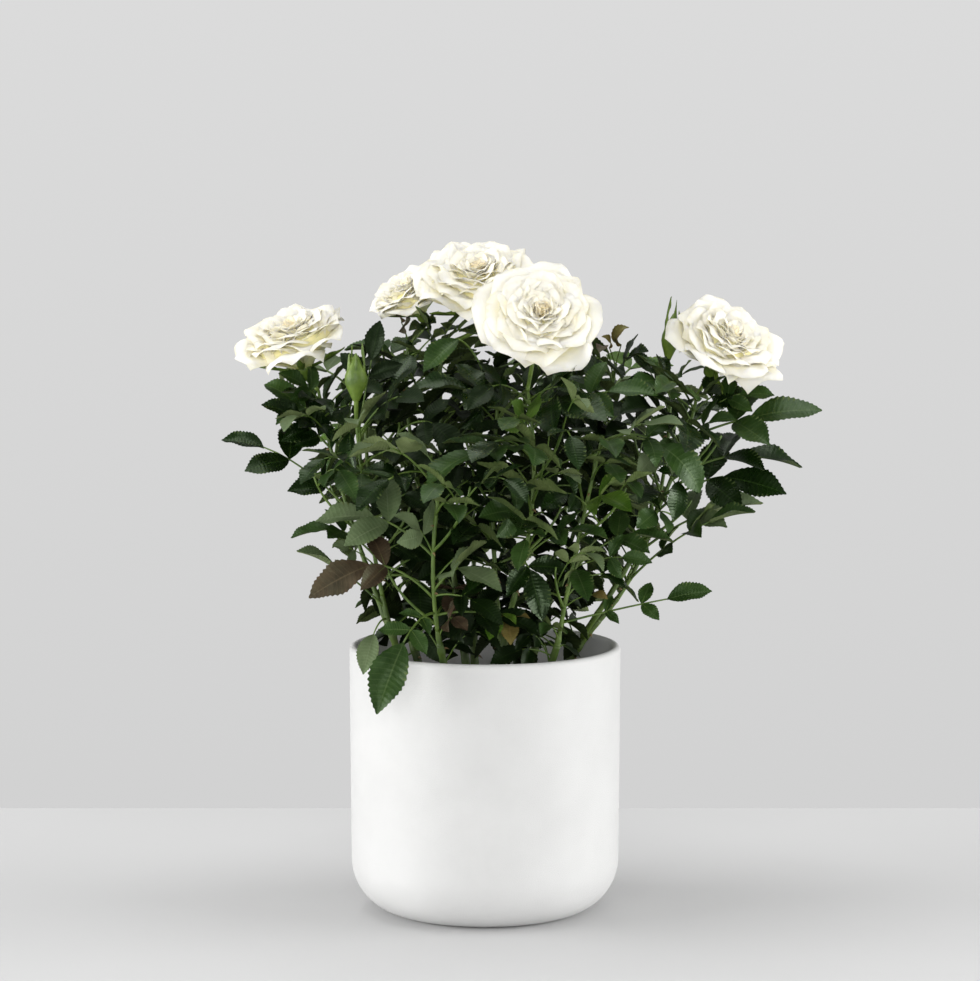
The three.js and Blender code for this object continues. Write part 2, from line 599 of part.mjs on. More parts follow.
function flowerGeometry(size) {
  const heights = FLOWER_RINGS.map(([, z]) => z);
  const geometry = latheUp(FLOWER_RINGS.map(([r, z]) => [r * size, z * size]), 3 * PETALS_ROUND);
  const position = geometry.attributes.position;
  for (let i = 0; i < position.count; i++) {
    const [x, y, z] = [position.getX(i), position.getY(i), position.getZ(i)];
    const ring = heights.findIndex((height) => Math.abs(height * size - z) < 1e-3);
    const [, , notch, turn] = FLOWER_RINGS[ring];
    const petal = (PETALS_ROUND * Math.atan2(y, x)) / (2 * Math.PI) + turn;
    const toMiddle = 2 * Math.abs(petal - Math.round(petal));
    const scale = 1 - notch * toMiddle;
    position.setXYZ(i, x * scale, y * scale, z);
  }
  return geometry;
}

for (const [name, bloom] of Object.entries(BLOOMS)) {
  const flower = flowerGeometry(bloom.width).applyMatrix4(flowerFrame(bloom));
  addMesh(name, fused([flower, stalkGeometry(bloom, 1.3)]), PETALS);
}

for (const [name, bud] of Object.entries(BUDS)) {
  const { length, radius } = bud;
  const body = latheUp([[0, -0.08], [0.55, 0.05], [0.6, 0.22], [1, 0.5], [0.75, 0.78], [0, 1.05]].map(
    ([r, z]) => [r * radius, z * length]), 6);
  const pieces = [body];
  for (let i = 0; i < 5; i++) {
    const angle = (2 * Math.PI * i) / 5;
    const out = new THREE.Vector3(Math.cos(angle), Math.sin(angle), 0);
    const side = new THREE.Vector3(-Math.sin(angle), Math.cos(angle), 0);
    const sepal = {
      base: out.clone().multiplyScalar(0.5 * radius).setZ(0.22 * length),
      along: out.clone().multiplyScalar(0.42).setZ(0.9).normalize(),
      side, length: 0.95 * length, width: 0.75 * radius, curl: -0.35,
    };
    sepal.normal = new THREE.Vector3().crossVectors(sepal.along, side);
    pieces.push(sideLeaflet(sepal));
  }
  for (const piece of pieces) piece.applyMatrix4(flowerFrame(bud));
  pieces.push(stalkGeometry(bud, 1.2));
  addMesh(name, fused(pieces), BUD_GREEN);
}

// ---------------------------------------------------------------- pot and soil

const POT_SEGMENTS = 32;

// The round corner between the wall and the flat underside, from the foot up.
function cornerArc(foot, wall, corner, z0, steps) {
  return Array.from({ length: steps + 1 }, (_, i) => {
    const angle = (Math.PI / 2) * (i / steps);
    return [mix(foot, wall, Math.sin(angle)), z0 + corner * (1 - Math.cos(angle))];
  });
}

function potProfile() {
  const { radius, height, wall, foot, corner, taper, lip, floor } = POT;
  const outer = cornerArc(foot, radius - taper, corner, 0, 3);
  const rim = [[radius, height - lip], [radius - lip, height], [radius - wall + lip, height],
    [radius - wall, height - lip]];
  const inner = cornerArc(foot - 2, radius - taper - wall, corner - floor + wall, floor, 3).reverse();
  return [[0, 0], ...outer, ...rim, ...inner, [0, floor]];
}

function soilProfile() {
  const { radius, wall, foot, corner, taper, floor } = POT;
  const outer = cornerArc(foot - 2, radius - taper - wall, corner - floor + wall, floor, 3)
    .map(([r, z]) => [r - 2 * JOINT_GAP, z + JOINT_GAP]);
  const edge = radius - taper - wall - 2 * JOINT_GAP;
  const top = [[edge, SOIL.top - SOIL.edge], [edge - SOIL.edge, SOIL.top], [0, SOIL.top]];
  return [[0, floor + JOINT_GAP], ...outer, ...top];
}

addMesh('pot', geometryOf(solidFrom(latheUp(potProfile(), POT_SEGMENTS))), CERAMIC);
addMesh('soil', geometryOf(solidFrom(latheUp(soilProfile(), POT_SEGMENTS))), PEAT);

export default plant;
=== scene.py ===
import functools
import itertools
import math

import bpy
import numpy as np
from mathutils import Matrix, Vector


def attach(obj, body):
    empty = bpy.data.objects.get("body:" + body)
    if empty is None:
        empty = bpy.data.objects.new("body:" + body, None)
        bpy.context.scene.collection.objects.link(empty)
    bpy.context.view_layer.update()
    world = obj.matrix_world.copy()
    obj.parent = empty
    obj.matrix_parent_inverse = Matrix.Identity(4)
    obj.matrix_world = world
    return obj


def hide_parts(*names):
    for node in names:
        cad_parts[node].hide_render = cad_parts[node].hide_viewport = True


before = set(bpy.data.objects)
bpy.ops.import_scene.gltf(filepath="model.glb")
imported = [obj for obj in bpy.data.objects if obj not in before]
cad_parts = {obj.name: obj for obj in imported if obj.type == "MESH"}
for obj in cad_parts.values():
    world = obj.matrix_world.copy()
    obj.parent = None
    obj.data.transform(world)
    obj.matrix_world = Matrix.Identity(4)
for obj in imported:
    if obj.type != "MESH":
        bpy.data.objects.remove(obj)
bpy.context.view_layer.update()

# ---- driving sizes, as in the source

POT = {"radius": 65, "height": 129, "wall": 4.5, "foot": 39, "corner": 26, "taper": 0.7}
SOIL = {"top": 105, "skirt": 6}
JOINT_GAP = 0.3
STEM = {"foot": 2.7, "fork": 2.0, "flare": 0.55, "flare_height": 4}
BOUGH = (1.8, 1.35)
TWIG = (1.3, 1.0)
RACHIS = (0.85, 0.6)
LEAF = {"width": 0.54, "fold": 0.2, "spread": 1.05, "curl": 0.45, "pair_size": 0.8, "less": 0.15}
PAIRS_AT = (0.76, 0.42)
CLEARANCE = {"limb": 1.1, "rim": 2.5}
# How leaves grow: None is the limb's own number of them, and the gaps are its blades' and its stalk's.
GROWTH = {
    "leaves": None, "divergence": 2.4, "five_fold": 0.25, "reach": (60, 78), "length": (30, 37),
    "rise": (5, 13), "curl": (0.25, 0.7), "scale": 1.0, "tries": 48, "gaps": (3.7, 2.4), "inward": False,
    "seed": 1871,
}
FRONT_LEAN, FORWARD, LEVEL = (0, -0.7, 0.72), (0, -0.9, 0.45), (0, -0.3, 0.95)
# The crown at a height: its radius, and its reach to the left and to the right.
CROWN = [
    (114, 46, 46, 46), (132, 62, 60, 58), (150, 78, 68, 72), (175, 92, 76, 90), (197, 104, 86, 98),
    (221, 115, 92, 115), (245, 124, 110, 135), (259, 108, 100, 115), (272, 72, 58, 75), (290, 46, 46, 50),
]
STEMS = {
    "left": ((-36, -28), (-45, -33, 142)),
    "front_left": ((-17, -40), (-21, -49, 136)),
    "centre": ((-8, -6), (-13, 0, 148)),
    "front": ((7, -34), (10, -40, 145)),
    "front_right": ((28, -31), (34, -37, 134)),
    "right": ((34, 1), (54, 0, 140)),
    "back_right": ((21, 28), (30, 37, 140)),
    "back": ((-5, 36), (-6, 46, 140)),
    "back_left": ((-30, 20), (-41, 27, 140)),
}
# Shoot: stem, share of the stem it leaves from (1 is the tip), bend, top, share its mass starts at, leaves.
SHOOTS = {
    "left_1": ("left", 1, (-54, -37, 190), (-60, -41, 240), 0.16, 7),
    "left_2": ("left", 0.72, (-66, -18, 200), (-79, -8, 252), 0.3, 7),
    "front_left_1": ("front_left", 1, (-24, -57, 180), (-18, -58, 226), 0.08, 8),
    "centre_1": ("centre", 1, (-20, 5, 215), (-21, 10, 272), 0.3, 8),
    "centre_2": ("centre", 0.75, (-34, 16, 215), (-37, 27, 272), 0.35, 7),
    "front_1": ("front", 1, (22, -49, 202), (20, -36, 254), 0.2, 8),
    "front_2": ("front", 0.7, (4, -22, 190), (6, -16, 246), 0.25, 8),
    "front_right_1": ("front_right", 1, (43, -42, 181), (55, -44, 234), 0.08, 8),
    "right_1": ("right", 1, (80, 3, 186), (89, 15, 254), 0.15, 8),
    "right_2": ("right", 0.78, (82, -14, 196), (101, 2, 248), 0.3, 8),
    "back_right_1": ("back_right", 1, (50, 33, 202), (63, 22, 262), 0.25, 7),
    "back_right_2": ("back_right", 0.75, (40, 56, 190), (48, 68, 240), 0.25, 8),
    "back_1": ("back", 1, (-6, 64, 195), (-10, 76, 252), 0.2, 9),
    "back_2": ("back", 0.75, (16, 50, 200), (18, 46, 264), 0.3, 8),
    "back_left_1": ("back_left", 1, (-57, 40, 190), (-68, 50, 240), 0.2, 8),
    "back_left_2": ("back_left", 0.75, (-54, 12, 196), (-56, 14, 246), 0.3, 9),
}
# Placed leaf: shoot, share of the shoot, tip, rise, length of the end leaflet, pairs below it,
# then its tint and what it has of its own among lean, curl and pair_size.
PLACED_LEAVES = [
    ("left_1", 0.45, (-125, -15, 229), 12, 26, 2, "dark", {"lean": (0.2, -0.6, 0.75), "pair_size": 0.95}),
    ("left_1", 0.36, (-91, -45, 186), 9, 24, 1, "mid", {"lean": LEVEL}),
    ("left_1", 0.93, (-49, -30, 287), 3, 22, 1),
    ("left_1", 0.8, (-57, -66, 201), 3, 24, 1, "mid", {"lean": FORWARD}),
    ("left_2", 0.72, (-106, -25, 247), 4, 25, 2, None, {"curl": 0.9}),
    ("left_2", 0.9, (-106, 4, 254), -3, 22, 1, None, {"curl": 0.9}),
    ("front_left_1", 0.18, (-50, -79, 108), 12, 28, 2, "mid", {"pair_size": 0.55}),
    ("front_left_1", 0.26, (-82, -62, 160), 16, 34, 1, "purple", {"pair_size": 0.6}),
    ("front_left_1", 0.3, (8, -76, 165), 12, 30, 1, "pale", {"lean": LEVEL}),
    ("front_left_1", 0.5, (-42, -72, 200), 6, 22, 1, "pale"),
    ("front_left_1", 0.75, (-21, -68, 217), 4, 24, 0, None, {"lean": FORWARD}),
    ("front_left_1", 0.9, (-41, -60, 237), 4, 29, 0, "pale", {"lean": LEVEL}),
    ("front_2", 0.98, (-29, -36, 263), 24, 32, 0, "mid"),
    ("centre_1", 0.85, (-43, -40, 257), 14, 24, 1, None, {"pair_size": 0.6}),
    ("centre_2", 0.85, (-50, -22, 257), 8, 30, 1),
    ("front_1", 0.92, (56, -76, 244), 8, 34, 1, "dark", {"lean": (0.2, -0.8, 0.5)}),
    ("front_1", 0.8, (12, -66, 252), 3, 18, 1, "fresh", {"lean": FORWARD}),
    ("front_1", 0.42, (-3, -72, 199), 6, 24, 1, "mid", {"lean": FORWARD}),
    ("front_1", 0.26, (27, -56, 148), 6, 24, 1),
    ("front_2", 0.92, (-16, -46, 254), 4, 24, 1, "dark", {"lean": FORWARD}),
    ("front_right_1", 0.12, (107, -38, 160), 1, 22, 2, "mid", {"pair_size": 0.6}),
    ("front_right_1", 0.3, (48, -66, 159), 12, 24, 1),
    ("front_right_1", 0.4, (78, -58, 176), 4, 16, 1, None, {"lean": FORWARD}),
    ("front_right_1", 0.7, (68, -68, 201), 6, 22, 1),
    ("front_right_1", 0.97, (102, -42, 205), 14, 26, 1, "mid", {"pair_size": 0.7, "curl": 1.4}),
    ("back_right_1", 0.96, (78, 0, 270), 3, 20, 1),
    ("right_1", 0.24, (128, -25, 196), 8, 28, 2, "mid", {"lean": LEVEL}),
    ("right_1", 0.4, (134, 10, 196), 6, 33, 1, "pale", {"lean": LEVEL}),
    ("right_1", 0.55, (144, -5, 202), 13, 34, 1, "dark"),
    ("right_2", 0.62, (152, 2, 214), 9, 33, 1, "dark", {"lean": LEVEL}),
    ("right_2", 0.8, (160, -14, 243), 4, 36, 1, "mid", {"lean": (-0.1, -0.5, 0.8)}),
]
# Bloom: shoot, heart, the way it faces, width.
BLOOMS = {
    "left": ("left_2", (-91, -11, 279), (-0.28, -0.16, 0.95), 61),
    "top_left": ("centre_2", (-37, 28, 297), (-0.45, -0.3, 0.85), 46),
    "centre": ("centre_1", (-3, 4, 306), (-0.08, -0.45, 0.87), 66),
    "front": ("front_1", (26, -45, 291), (0.08, -0.8, 0.6), 63),
    "right": ("right_2", (116, -2, 276), (0.38, -0.5, 0.78), 61),
}
# Bud: shoot, base, the way it faces, length, radius.
BUDS = {
    "left": ("left_1", (-60, -44, 252), (0, -0.05, 1), 20, 5.5),
    "right": ("right_1", (88, 18, 266), (0.12, 0, 1), 20, 4.5),
}

# ---- colours and looks

# Above: dark, light and vein colours, roughness and gloss. Underneath: dark and light.
LEAF_TINTS = {
    # This row is painted shade: darker colours for the leaves inside the crown, where shade falls.
    "painted_shade": ((4, 13, 2), (13, 28, 5), (38, 58, 20), (0.38, 0.52), 0.3, (22, 34, 10), (40, 52, 22)),
    "dark": ((5, 17, 2), (18, 39, 7), (60, 86, 38), (0.22, 0.38), 0.48, (56, 72, 34), (82, 96, 54)),
    "mid": ((24, 46, 12), (50, 74, 30), (98, 118, 72), (0.3, 0.46), 0.48, (66, 82, 40), (94, 108, 62)),
    # This tint is partly the leaves' own paler colour and partly painted sheen, for leaves that catch the
    # light.
    "pale": ((74, 91, 58), (108, 123, 88), (136, 148, 114), (0.4, 0.56), 0.48, (84, 98, 56), (110, 122, 80)),
    "fresh": ((50, 80, 16), (80, 108, 34), (124, 142, 72), (0.36, 0.5), 0.48, (88, 110, 48), (116, 134, 70)),
    "young": ((84, 68, 34), (112, 104, 56), (140, 118, 78), (0.34, 0.48), 0.48, (104, 82, 44), (132, 116, 64)),
    "purple": ((46, 34, 26), (82, 68, 52), (112, 96, 72), (0.36, 0.52), 0.48, (76, 60, 46), (102, 86, 66)),
}
# Colours at the claw, in the middle and at the edge, in the order of the petals' material slots. The claws'
# yellow is partly the petals' own and partly painted light: brightened to stand for light shining through the
# petals into the crevices.
PETAL_TINTS = {
    "white": ((246, 238, 184), (252, 246, 222), (253, 249, 232)),
    "heart": ((230, 190, 104), (249, 226, 174), (252, 243, 214)),
    "outer": ((204, 212, 120), (246, 242, 204), (252, 248, 226)),
}
# Dark, light, scale of the mottling, roughness, scale and depth of the relief, and any gloss of its own.
PLAIN = {
    "green_bark": ((46, 68, 17), (84, 106, 37), 90, (0.42, 0.6), 700, 0.0005),
    "thorn": ((96, 74, 48), (132, 112, 70), 200, (0.45, 0.6), 900, 0.0003),
    "twig_green": ((58, 84, 22), (96, 120, 46), 90, (0.42, 0.6), 800, 0.0004),
    "hip_green": ((66, 92, 22), (114, 138, 50), 150, (0.4, 0.55), 900, 0.0003),
    "matt_glaze": ((208, 208, 207), (214, 214, 213), 30, (0.62, 0.78), 2600, 0.00035, 0.35),
    "peat": ((34, 24, 17), (70, 52, 38), 240, (0.85, 0.97), 1400, 0.0012),
    "perlite": ((176, 168, 152), (206, 200, 188), 300, (0.8, 0.95), 1600, 0.0006),
    "table_top": ((208, 208, 208), (212, 212, 212), 3, (0.75, 0.85), 300, 0.0001, 0.2),
}
FINE_RELIEF = 0.0003
# In metres: the table, with its far edge behind the pot; then each lamp's place, target, size and watts.
TABLE = {"side": 1, "near": -1.6, "far": 0.256}
LAMPS = {
    "softbox_left": ((-2.1, -0.4, 0.5), (0, 0, 0.18), (1.9, 0.9), 41),
    "softbox_right": ((2.1, -0.3, 0.5), (0, 0, 0.18), (1.9, 0.9), 42),
    "softbox_top": ((-0.1, 0.1, 2.4), (0, 0, 0.2), (2.0, 2.0), 31),
    "softbox_front": ((-0.35, -2.4, 0.6), (0, 0, 0.2), (1.4, 0.9), 23),
}
# The backdrop's greys, which only the camera sees, and the glow that lights everything instead.
BACKDROP, AMBIENT = (209, 219), 0.28
# In metres, degrees and millimetres.
CAMERA = {"place": (0.0024, -2.0, 0.4336), "down": 6.57, "sensor": 36, "lens": 154.67}

# ---- small helpers

MASK = 0xFFFFFFFF


def seeded(seed):
    """The source's random numbers from 0 to 1."""
    state = seed

    def draw():
        nonlocal state
        state = (state + 0x6D2B79F5) & MASK
        bits = (state ^ (state >> 15)) * (state | 1) & MASK
        bits ^= (bits + (bits ^ (bits >> 7)) * (bits | 61)) & MASK
        return (bits ^ (bits >> 14)) / 4294967296

    return draw


def vec(*values):
    return np.array(values[0] if len(values) == 1 else values, dtype=float)


def unit(v):
    return v / np.linalg.norm(v)


def mix(a, b, share):
    return a + (b - a) * share


def smooth(low, high, x):
    t = np.clip((x - low) / (high - low), 0, 1)
    return t * t * (3 - 2 * t)


class Curve:
    """A quadratic curve, as the source's."""

    def __init__(self, start, control, end):
        self.start, self.control, self.end = vec(start), vec(control), vec(end)

    @classmethod
    def through(cls, start, bend, end):
        start, bend, end = vec(start), vec(bend), vec(end)
        return cls(start, 2 * bend - 0.5 * (start + end), end)

    def point(self, share):
        t = np.asarray(share, dtype=float)[..., None]
        return self.start * (1 - t) ** 2 + self.control * 2 * (1 - t) * t + self.end * t**2

    def tangent(self, share):
        low, high = max(0.0, share - 1e-4), min(1.0, share + 1e-4)
        return unit(self.point(high) - self.point(low))

    def length(self):
        return float(np.linalg.norm(np.diff(self.point(np.linspace(0, 1, 201)), axis=0), axis=1).sum())


# ---- limbs, as in the source


def stem_curve(foot, fork):
    start, end = vec(foot[0], foot[1], SOIL["top"] + JOINT_GAP), vec(fork)
    middle = mix(start, end, np.array([0.38, 0.38, 0.5]))
    return Curve.through(start, middle, end)


def stem_radius(share, length):
    flare = STEM["flare"] * np.exp(-share * length / STEM["flare_height"])
    return mix(STEM["foot"], STEM["fork"], share) * (1 + flare)


stem_curves = {name: stem_curve(*stem) for name, stem in STEMS.items()}


def shoot_start(stem, at, bend):
    curve = stem_curves[stem]
    tangent, point = curve.tangent(at), curve.point(at)
    if at == 1:
        return point + tangent * JOINT_GAP
    outward = vec(bend) - point
    outward = unit(outward - tangent * outward.dot(tangent))
    return point + outward * (stem_radius(at, curve.length()) + JOINT_GAP)


class Shoot:
    """A shoot that carries leaves from the share 'first' of its length on."""

    def __init__(self, name, curve, mass, leaves):
        self.name, self.curve, self.mass, self.leaves = name, curve, mass, leaves
        near, next_point = curve.point(mass), curve.point(mass + 0.01)
        self.first = mass + 0.01 * JOINT_GAP / np.linalg.norm(near - next_point)


shoots = {}
for name, (stem, at, bend, top, mass, leaves) in SHOOTS.items():
    shoots[name] = Shoot(name, Curve.through(shoot_start(stem, at, bend), bend, top), mass, leaves)

# ---- leaves, as in the source


def leaf_profile(share):
    return np.sin(np.pi * share**0.78)


class Leaflet:
    def __init__(self, base, along, side, normal, length, width, curl):
        self.base, self.along, self.side, self.normal = base, along, side, normal
        self.length, self.width, self.curl = length, width, curl

    def points(self, share, across, half=None, raised=0.0, fold=LEAF["fold"]):
        """Points of the blade: share runs from base to tip, across from -1 to 1."""
        if half is None:
            half = across * 0.5 * self.width * leaf_profile(share)
        turn, radius = self.curl * share, self.length / self.curl
        lift = np.abs(half) * math.sin(fold) + raised
        forward = (radius + lift) * np.sin(turn)
        drop = radius * (1 - np.cos(turn)) - lift * np.cos(turn)
        aside = half * math.cos(fold)
        onward = self.base + self.along * forward[..., None] - self.normal * drop[..., None]
        return onward + self.side * aside[..., None]


class Leaf:
    """A compound leaf: a leaf stalk, an end leaflet and pairs of leaflets below it."""

    def __init__(
        self, start, tip, rise, length, pairs, lean=FRONT_LEAN, curl=LEAF["curl"], pair_size=LEAF["pair_size"]
    ):
        end, self.lean, self.curl = vec(tip), vec(lean), curl
        middle = mix(start, end, 0.5) + vec(0, 0, rise)
        self.curve = Curve.through(start, middle, end)
        self.stalk_end = max(0.3, 1 - length / self.curve.length())
        joint = self.curve.point(self.stalk_end)
        onward = end - joint
        self.leaflets = [self.leaflet(joint, unit(onward), 0, np.linalg.norm(onward))]
        for pair in range(pairs):
            tangent = self.curve.tangent(self.stalk_end * PAIRS_AT[pair])
            base = self.on_stalk(PAIRS_AT[pair])
            size = length * (pair_size - LEAF["less"] * pair)
            for turn in (LEAF["spread"], -LEAF["spread"]):
                self.leaflets.append(self.leaflet(base, tangent, turn, size))

    def leaflet(self, base, tangent, turn, size):
        side = unit(np.cross(self.lean, tangent))
        along = tangent * math.cos(turn) + side * math.sin(turn)
        across = np.cross(np.cross(tangent, side), along)
        dip = -0.5 * self.curl
        along = along * math.cos(dip) + np.cross(across, along) * math.sin(dip)
        return Leaflet(base, along, across, np.cross(along, across), size, size * LEAF["width"], self.curl)

    def on_stalk(self, share):
        first = min(1, int(share * 2))
        low, high = (self.curve.point(self.stalk_end * i / 2) for i in (first, first + 1))
        return mix(low, high, share * 2 - first)

    def samples(self):
        """Points of the blades and of the leaf stalk, for the tests of what keeps clear."""
        grid = np.meshgrid(np.arange(1, 9) / 8, [-0.9, -0.45, 0, 0.45, 0.9], indexing="ij")
        share, across = (values.ravel() for values in grid)
        blades = np.concatenate([leaflet.points(share, across) for leaflet in self.leaflets])
        stalk = [self.on_stalk(i / 15).tolist() for i in range(1, 16)]
        return blades.tolist(), stalk


# ---- keeping clear, as in the source

CELL = 6
cells = {}
balls = []
NEAR = list(itertools.product((-1, 0, 1), repeat=3))


def occupy(point, radius, owner):
    key = tuple(int(v // CELL) for v in point)
    cells.setdefault(key, []).append((tuple(point), radius, owner))


def is_clear(point, gap, ignore=None):
    x, y, z = (int(v // CELL) for v in point)
    for i, j, k in NEAR:
        for other, radius, owner in cells.get((x + i, y + j, z + k), ()):
            if owner != ignore and math.dist(other, point) < gap + radius:
                return False
    return all(math.dist(centre, point) > radius + gap for centre, radius in balls)


def is_off_pot(point):
    radius, rim = math.hypot(point[0], point[1]), CLEARANCE["rim"]
    if point[2] > POT["height"] + rim or radius > POT["radius"] + rim:
        return True
    return radius < POT["radius"] - POT["wall"] - rim and point[2] > SOIL["top"] + rim


def is_in_crown(point):
    x, y, z = point
    if z > CROWN[-1][0]:
        return False
    upper = max(1, next((i for i, ring in enumerate(CROWN) if ring[0] > z), -1))
    low, high = CROWN[upper - 1], CROWN[upper]
    share = max(0, (z - low[0]) / (high[0] - low[0]))
    radius, left, right = (mix(low[i], high[i], share) for i in (1, 2, 3))
    return math.hypot(x, y) < radius and -left < x < right


def fits(leaf, blades, stalk, owner, blade_gap, stalk_gap):
    if not all(is_in_crown(leaflet.points(vec(1.0), vec(0.0))) for leaflet in leaf.leaflets):
        return False
    if not all(is_off_pot(p) and is_clear(p, blade_gap) for p in blades):
        return False
    return all(is_clear(p, stalk_gap, owner if i < 5 else None) for i, p in enumerate(stalk))


leaves_made = []


def keep(leaf, blades, stalk, owner, tint=None):
    leaf.tint = tint
    leaves_made.append(leaf)
    for point in blades:
        occupy(point, 0, owner)
    for point in stalk:
        occupy(point, RACHIS[0], owner)


def occupy_curve(curve, owner, radius=CLEARANCE["limb"]):
    count = math.ceil(curve.length() / 3)
    for i in range(count + 1):
        occupy(curve.point(i / count).tolist(), radius, owner)


def stalk_curve(shoot, base, face):
    curve = shoots[shoot].curve
    start = curve.point(1.0) + curve.tangent(1.0) * JOINT_GAP
    return Curve(start, base - face * 0.4 * np.linalg.norm(start - base), base)


for name, curve in stem_curves.items():
    occupy_curve(curve, name)
for shoot in shoots.values():
    occupy_curve(shoot.curve, shoot.name)



def place_bloom(shoot, heart, face, width):
    heart, face = vec(heart), unit(vec(face))
    stalk = stalk_curve(shoot, heart - 0.35 * width * face, face)
    return {"heart": heart, "base": heart - 0.3 * width * face, "face": face, "width": width, "stalk": stalk}


blooms, buds = {name: place_bloom(*row) for name, row in BLOOMS.items()}, {}
for name, bloom in blooms.items():
    occupy_curve(bloom["stalk"], BLOOMS[name][0])
    balls.append(((bloom["heart"] - 0.04 * bloom["width"] * bloom["face"]).tolist(), 0.5 * bloom["width"]))
for name, (shoot, base, face, length, radius) in BUDS.items():
    base, face = vec(base), unit(vec(face))
    stalk = stalk_curve(shoot, base, face)
    occupy_curve(stalk, shoot)
    balls.append(((base + 0.4 * length * face).tolist(), 0.6 * length))
    buds[name] = {"base": base, "face": face, "length": length, "radius": radius, "stalk": stalk}


def place_leaf(shoot, at, tip, rise, length, pairs, tint=None, own=None):
    """A leaf from a table, kept where the table puts it."""
    leaf = Leaf(shoots[shoot].curve.point(at), tip, rise, length, pairs, **(own or {}))
    keep(leaf, *leaf.samples(), shoot, tint)


def grow_leaf(limb, index, order, count, rule):
    """One more leaf on a limb: the first of a few seeded tries that keeps clear."""
    random = seeded(rule["seed"] + 101 * order + 7 * index)
    t = mix(limb.first + 0.03, 0.97, (index + 0.5) / count)
    start = limb.curve.point(t)
    first = rule["divergence"] * index + order
    if rule["inward"]:
        first = math.atan2(-start[1], -start[0]) + 0.7 * (index % 3 - 1)
    for attempt in range(rule["tries"]):
        heading = first + (random() - 0.5) * (0.5 + 0.35 * attempt)
        slope = mix(-0.75, 0.2, random()) + 0.3 * t
        size = rule["scale"] * (1 if attempt < rule["tries"] / 2 else 0.78)
        size = size * min(1, mix(0.6, 1, 2.2 * t)) * mix(1, 0.8, t)
        reach, length = mix(*rule["reach"], random()) * size, mix(*rule["length"], random()) * size
        rise, curl = mix(*rule["rise"], random()), mix(*rule["curl"], random())
        pairs = 2 if random() < rule["five_fold"] else 1
        level = reach * math.cos(slope)
        tip = start + vec(level * math.cos(heading), level * math.sin(heading), reach * math.sin(slope))
        outward = mix(0.35, 0.9, random()) / max(40, math.hypot(tip[0], tip[1]))
        sway = mix(-0.35, 0.35, random())
        lean = outward * tip + sway * vec(-math.sin(heading), math.cos(heading), 0)
        lean[2] = 0.8
        leaf = Leaf(start, tip, rise, length, pairs, lean, curl)
        blades, stalk = leaf.samples()
        if fits(leaf, blades, stalk, limb.name, *rule["gaps"]):
            keep(leaf, blades, stalk, limb.name)
            return


def grow_leaves(limbs, rule):
    """Leaf by leaf around all the limbs, so that they share the room."""
    for index in range(rule["leaves"] or max(limb.leaves for limb in limbs)):
        for order, limb in enumerate(limbs):
            count = rule["leaves"] or limb.leaves
            if index < count:
                grow_leaf(limb, index, order, count, rule)


for row in PLACED_LEAVES:
    place_leaf(*row)
grow_leaves(shoots.values(), GROWTH)

# ---- finer growth, only here

# Rules for leaves on the side twigs, on the shoots, inwards from the shoots and low on the stems.
FINER = {**GROWTH, "tries": 20, "gaps": (1.4, 1.0)}
ON_TWIGS = {**FINER, "leaves": 3, "scale": 0.7, "seed": 5003}
ON_SHOOTS = {**FINER, "leaves": 11, "scale": 0.95, "seed": 911}
INWARD = {**FINER, "leaves": 9, "scale": 0.95, "gaps": (1.1, 0.8), "inward": True, "seed": 6007}
LOW_DOWN = {**FINER, "leaves": 9, "scale": 0.66, "seed": 7001}
SIDE_TWIGS = {"each": 3, "tries": 8, "length": (26, 44), "radius": (0.8, 0.5), "gap": 1.5, "seed": 5003}

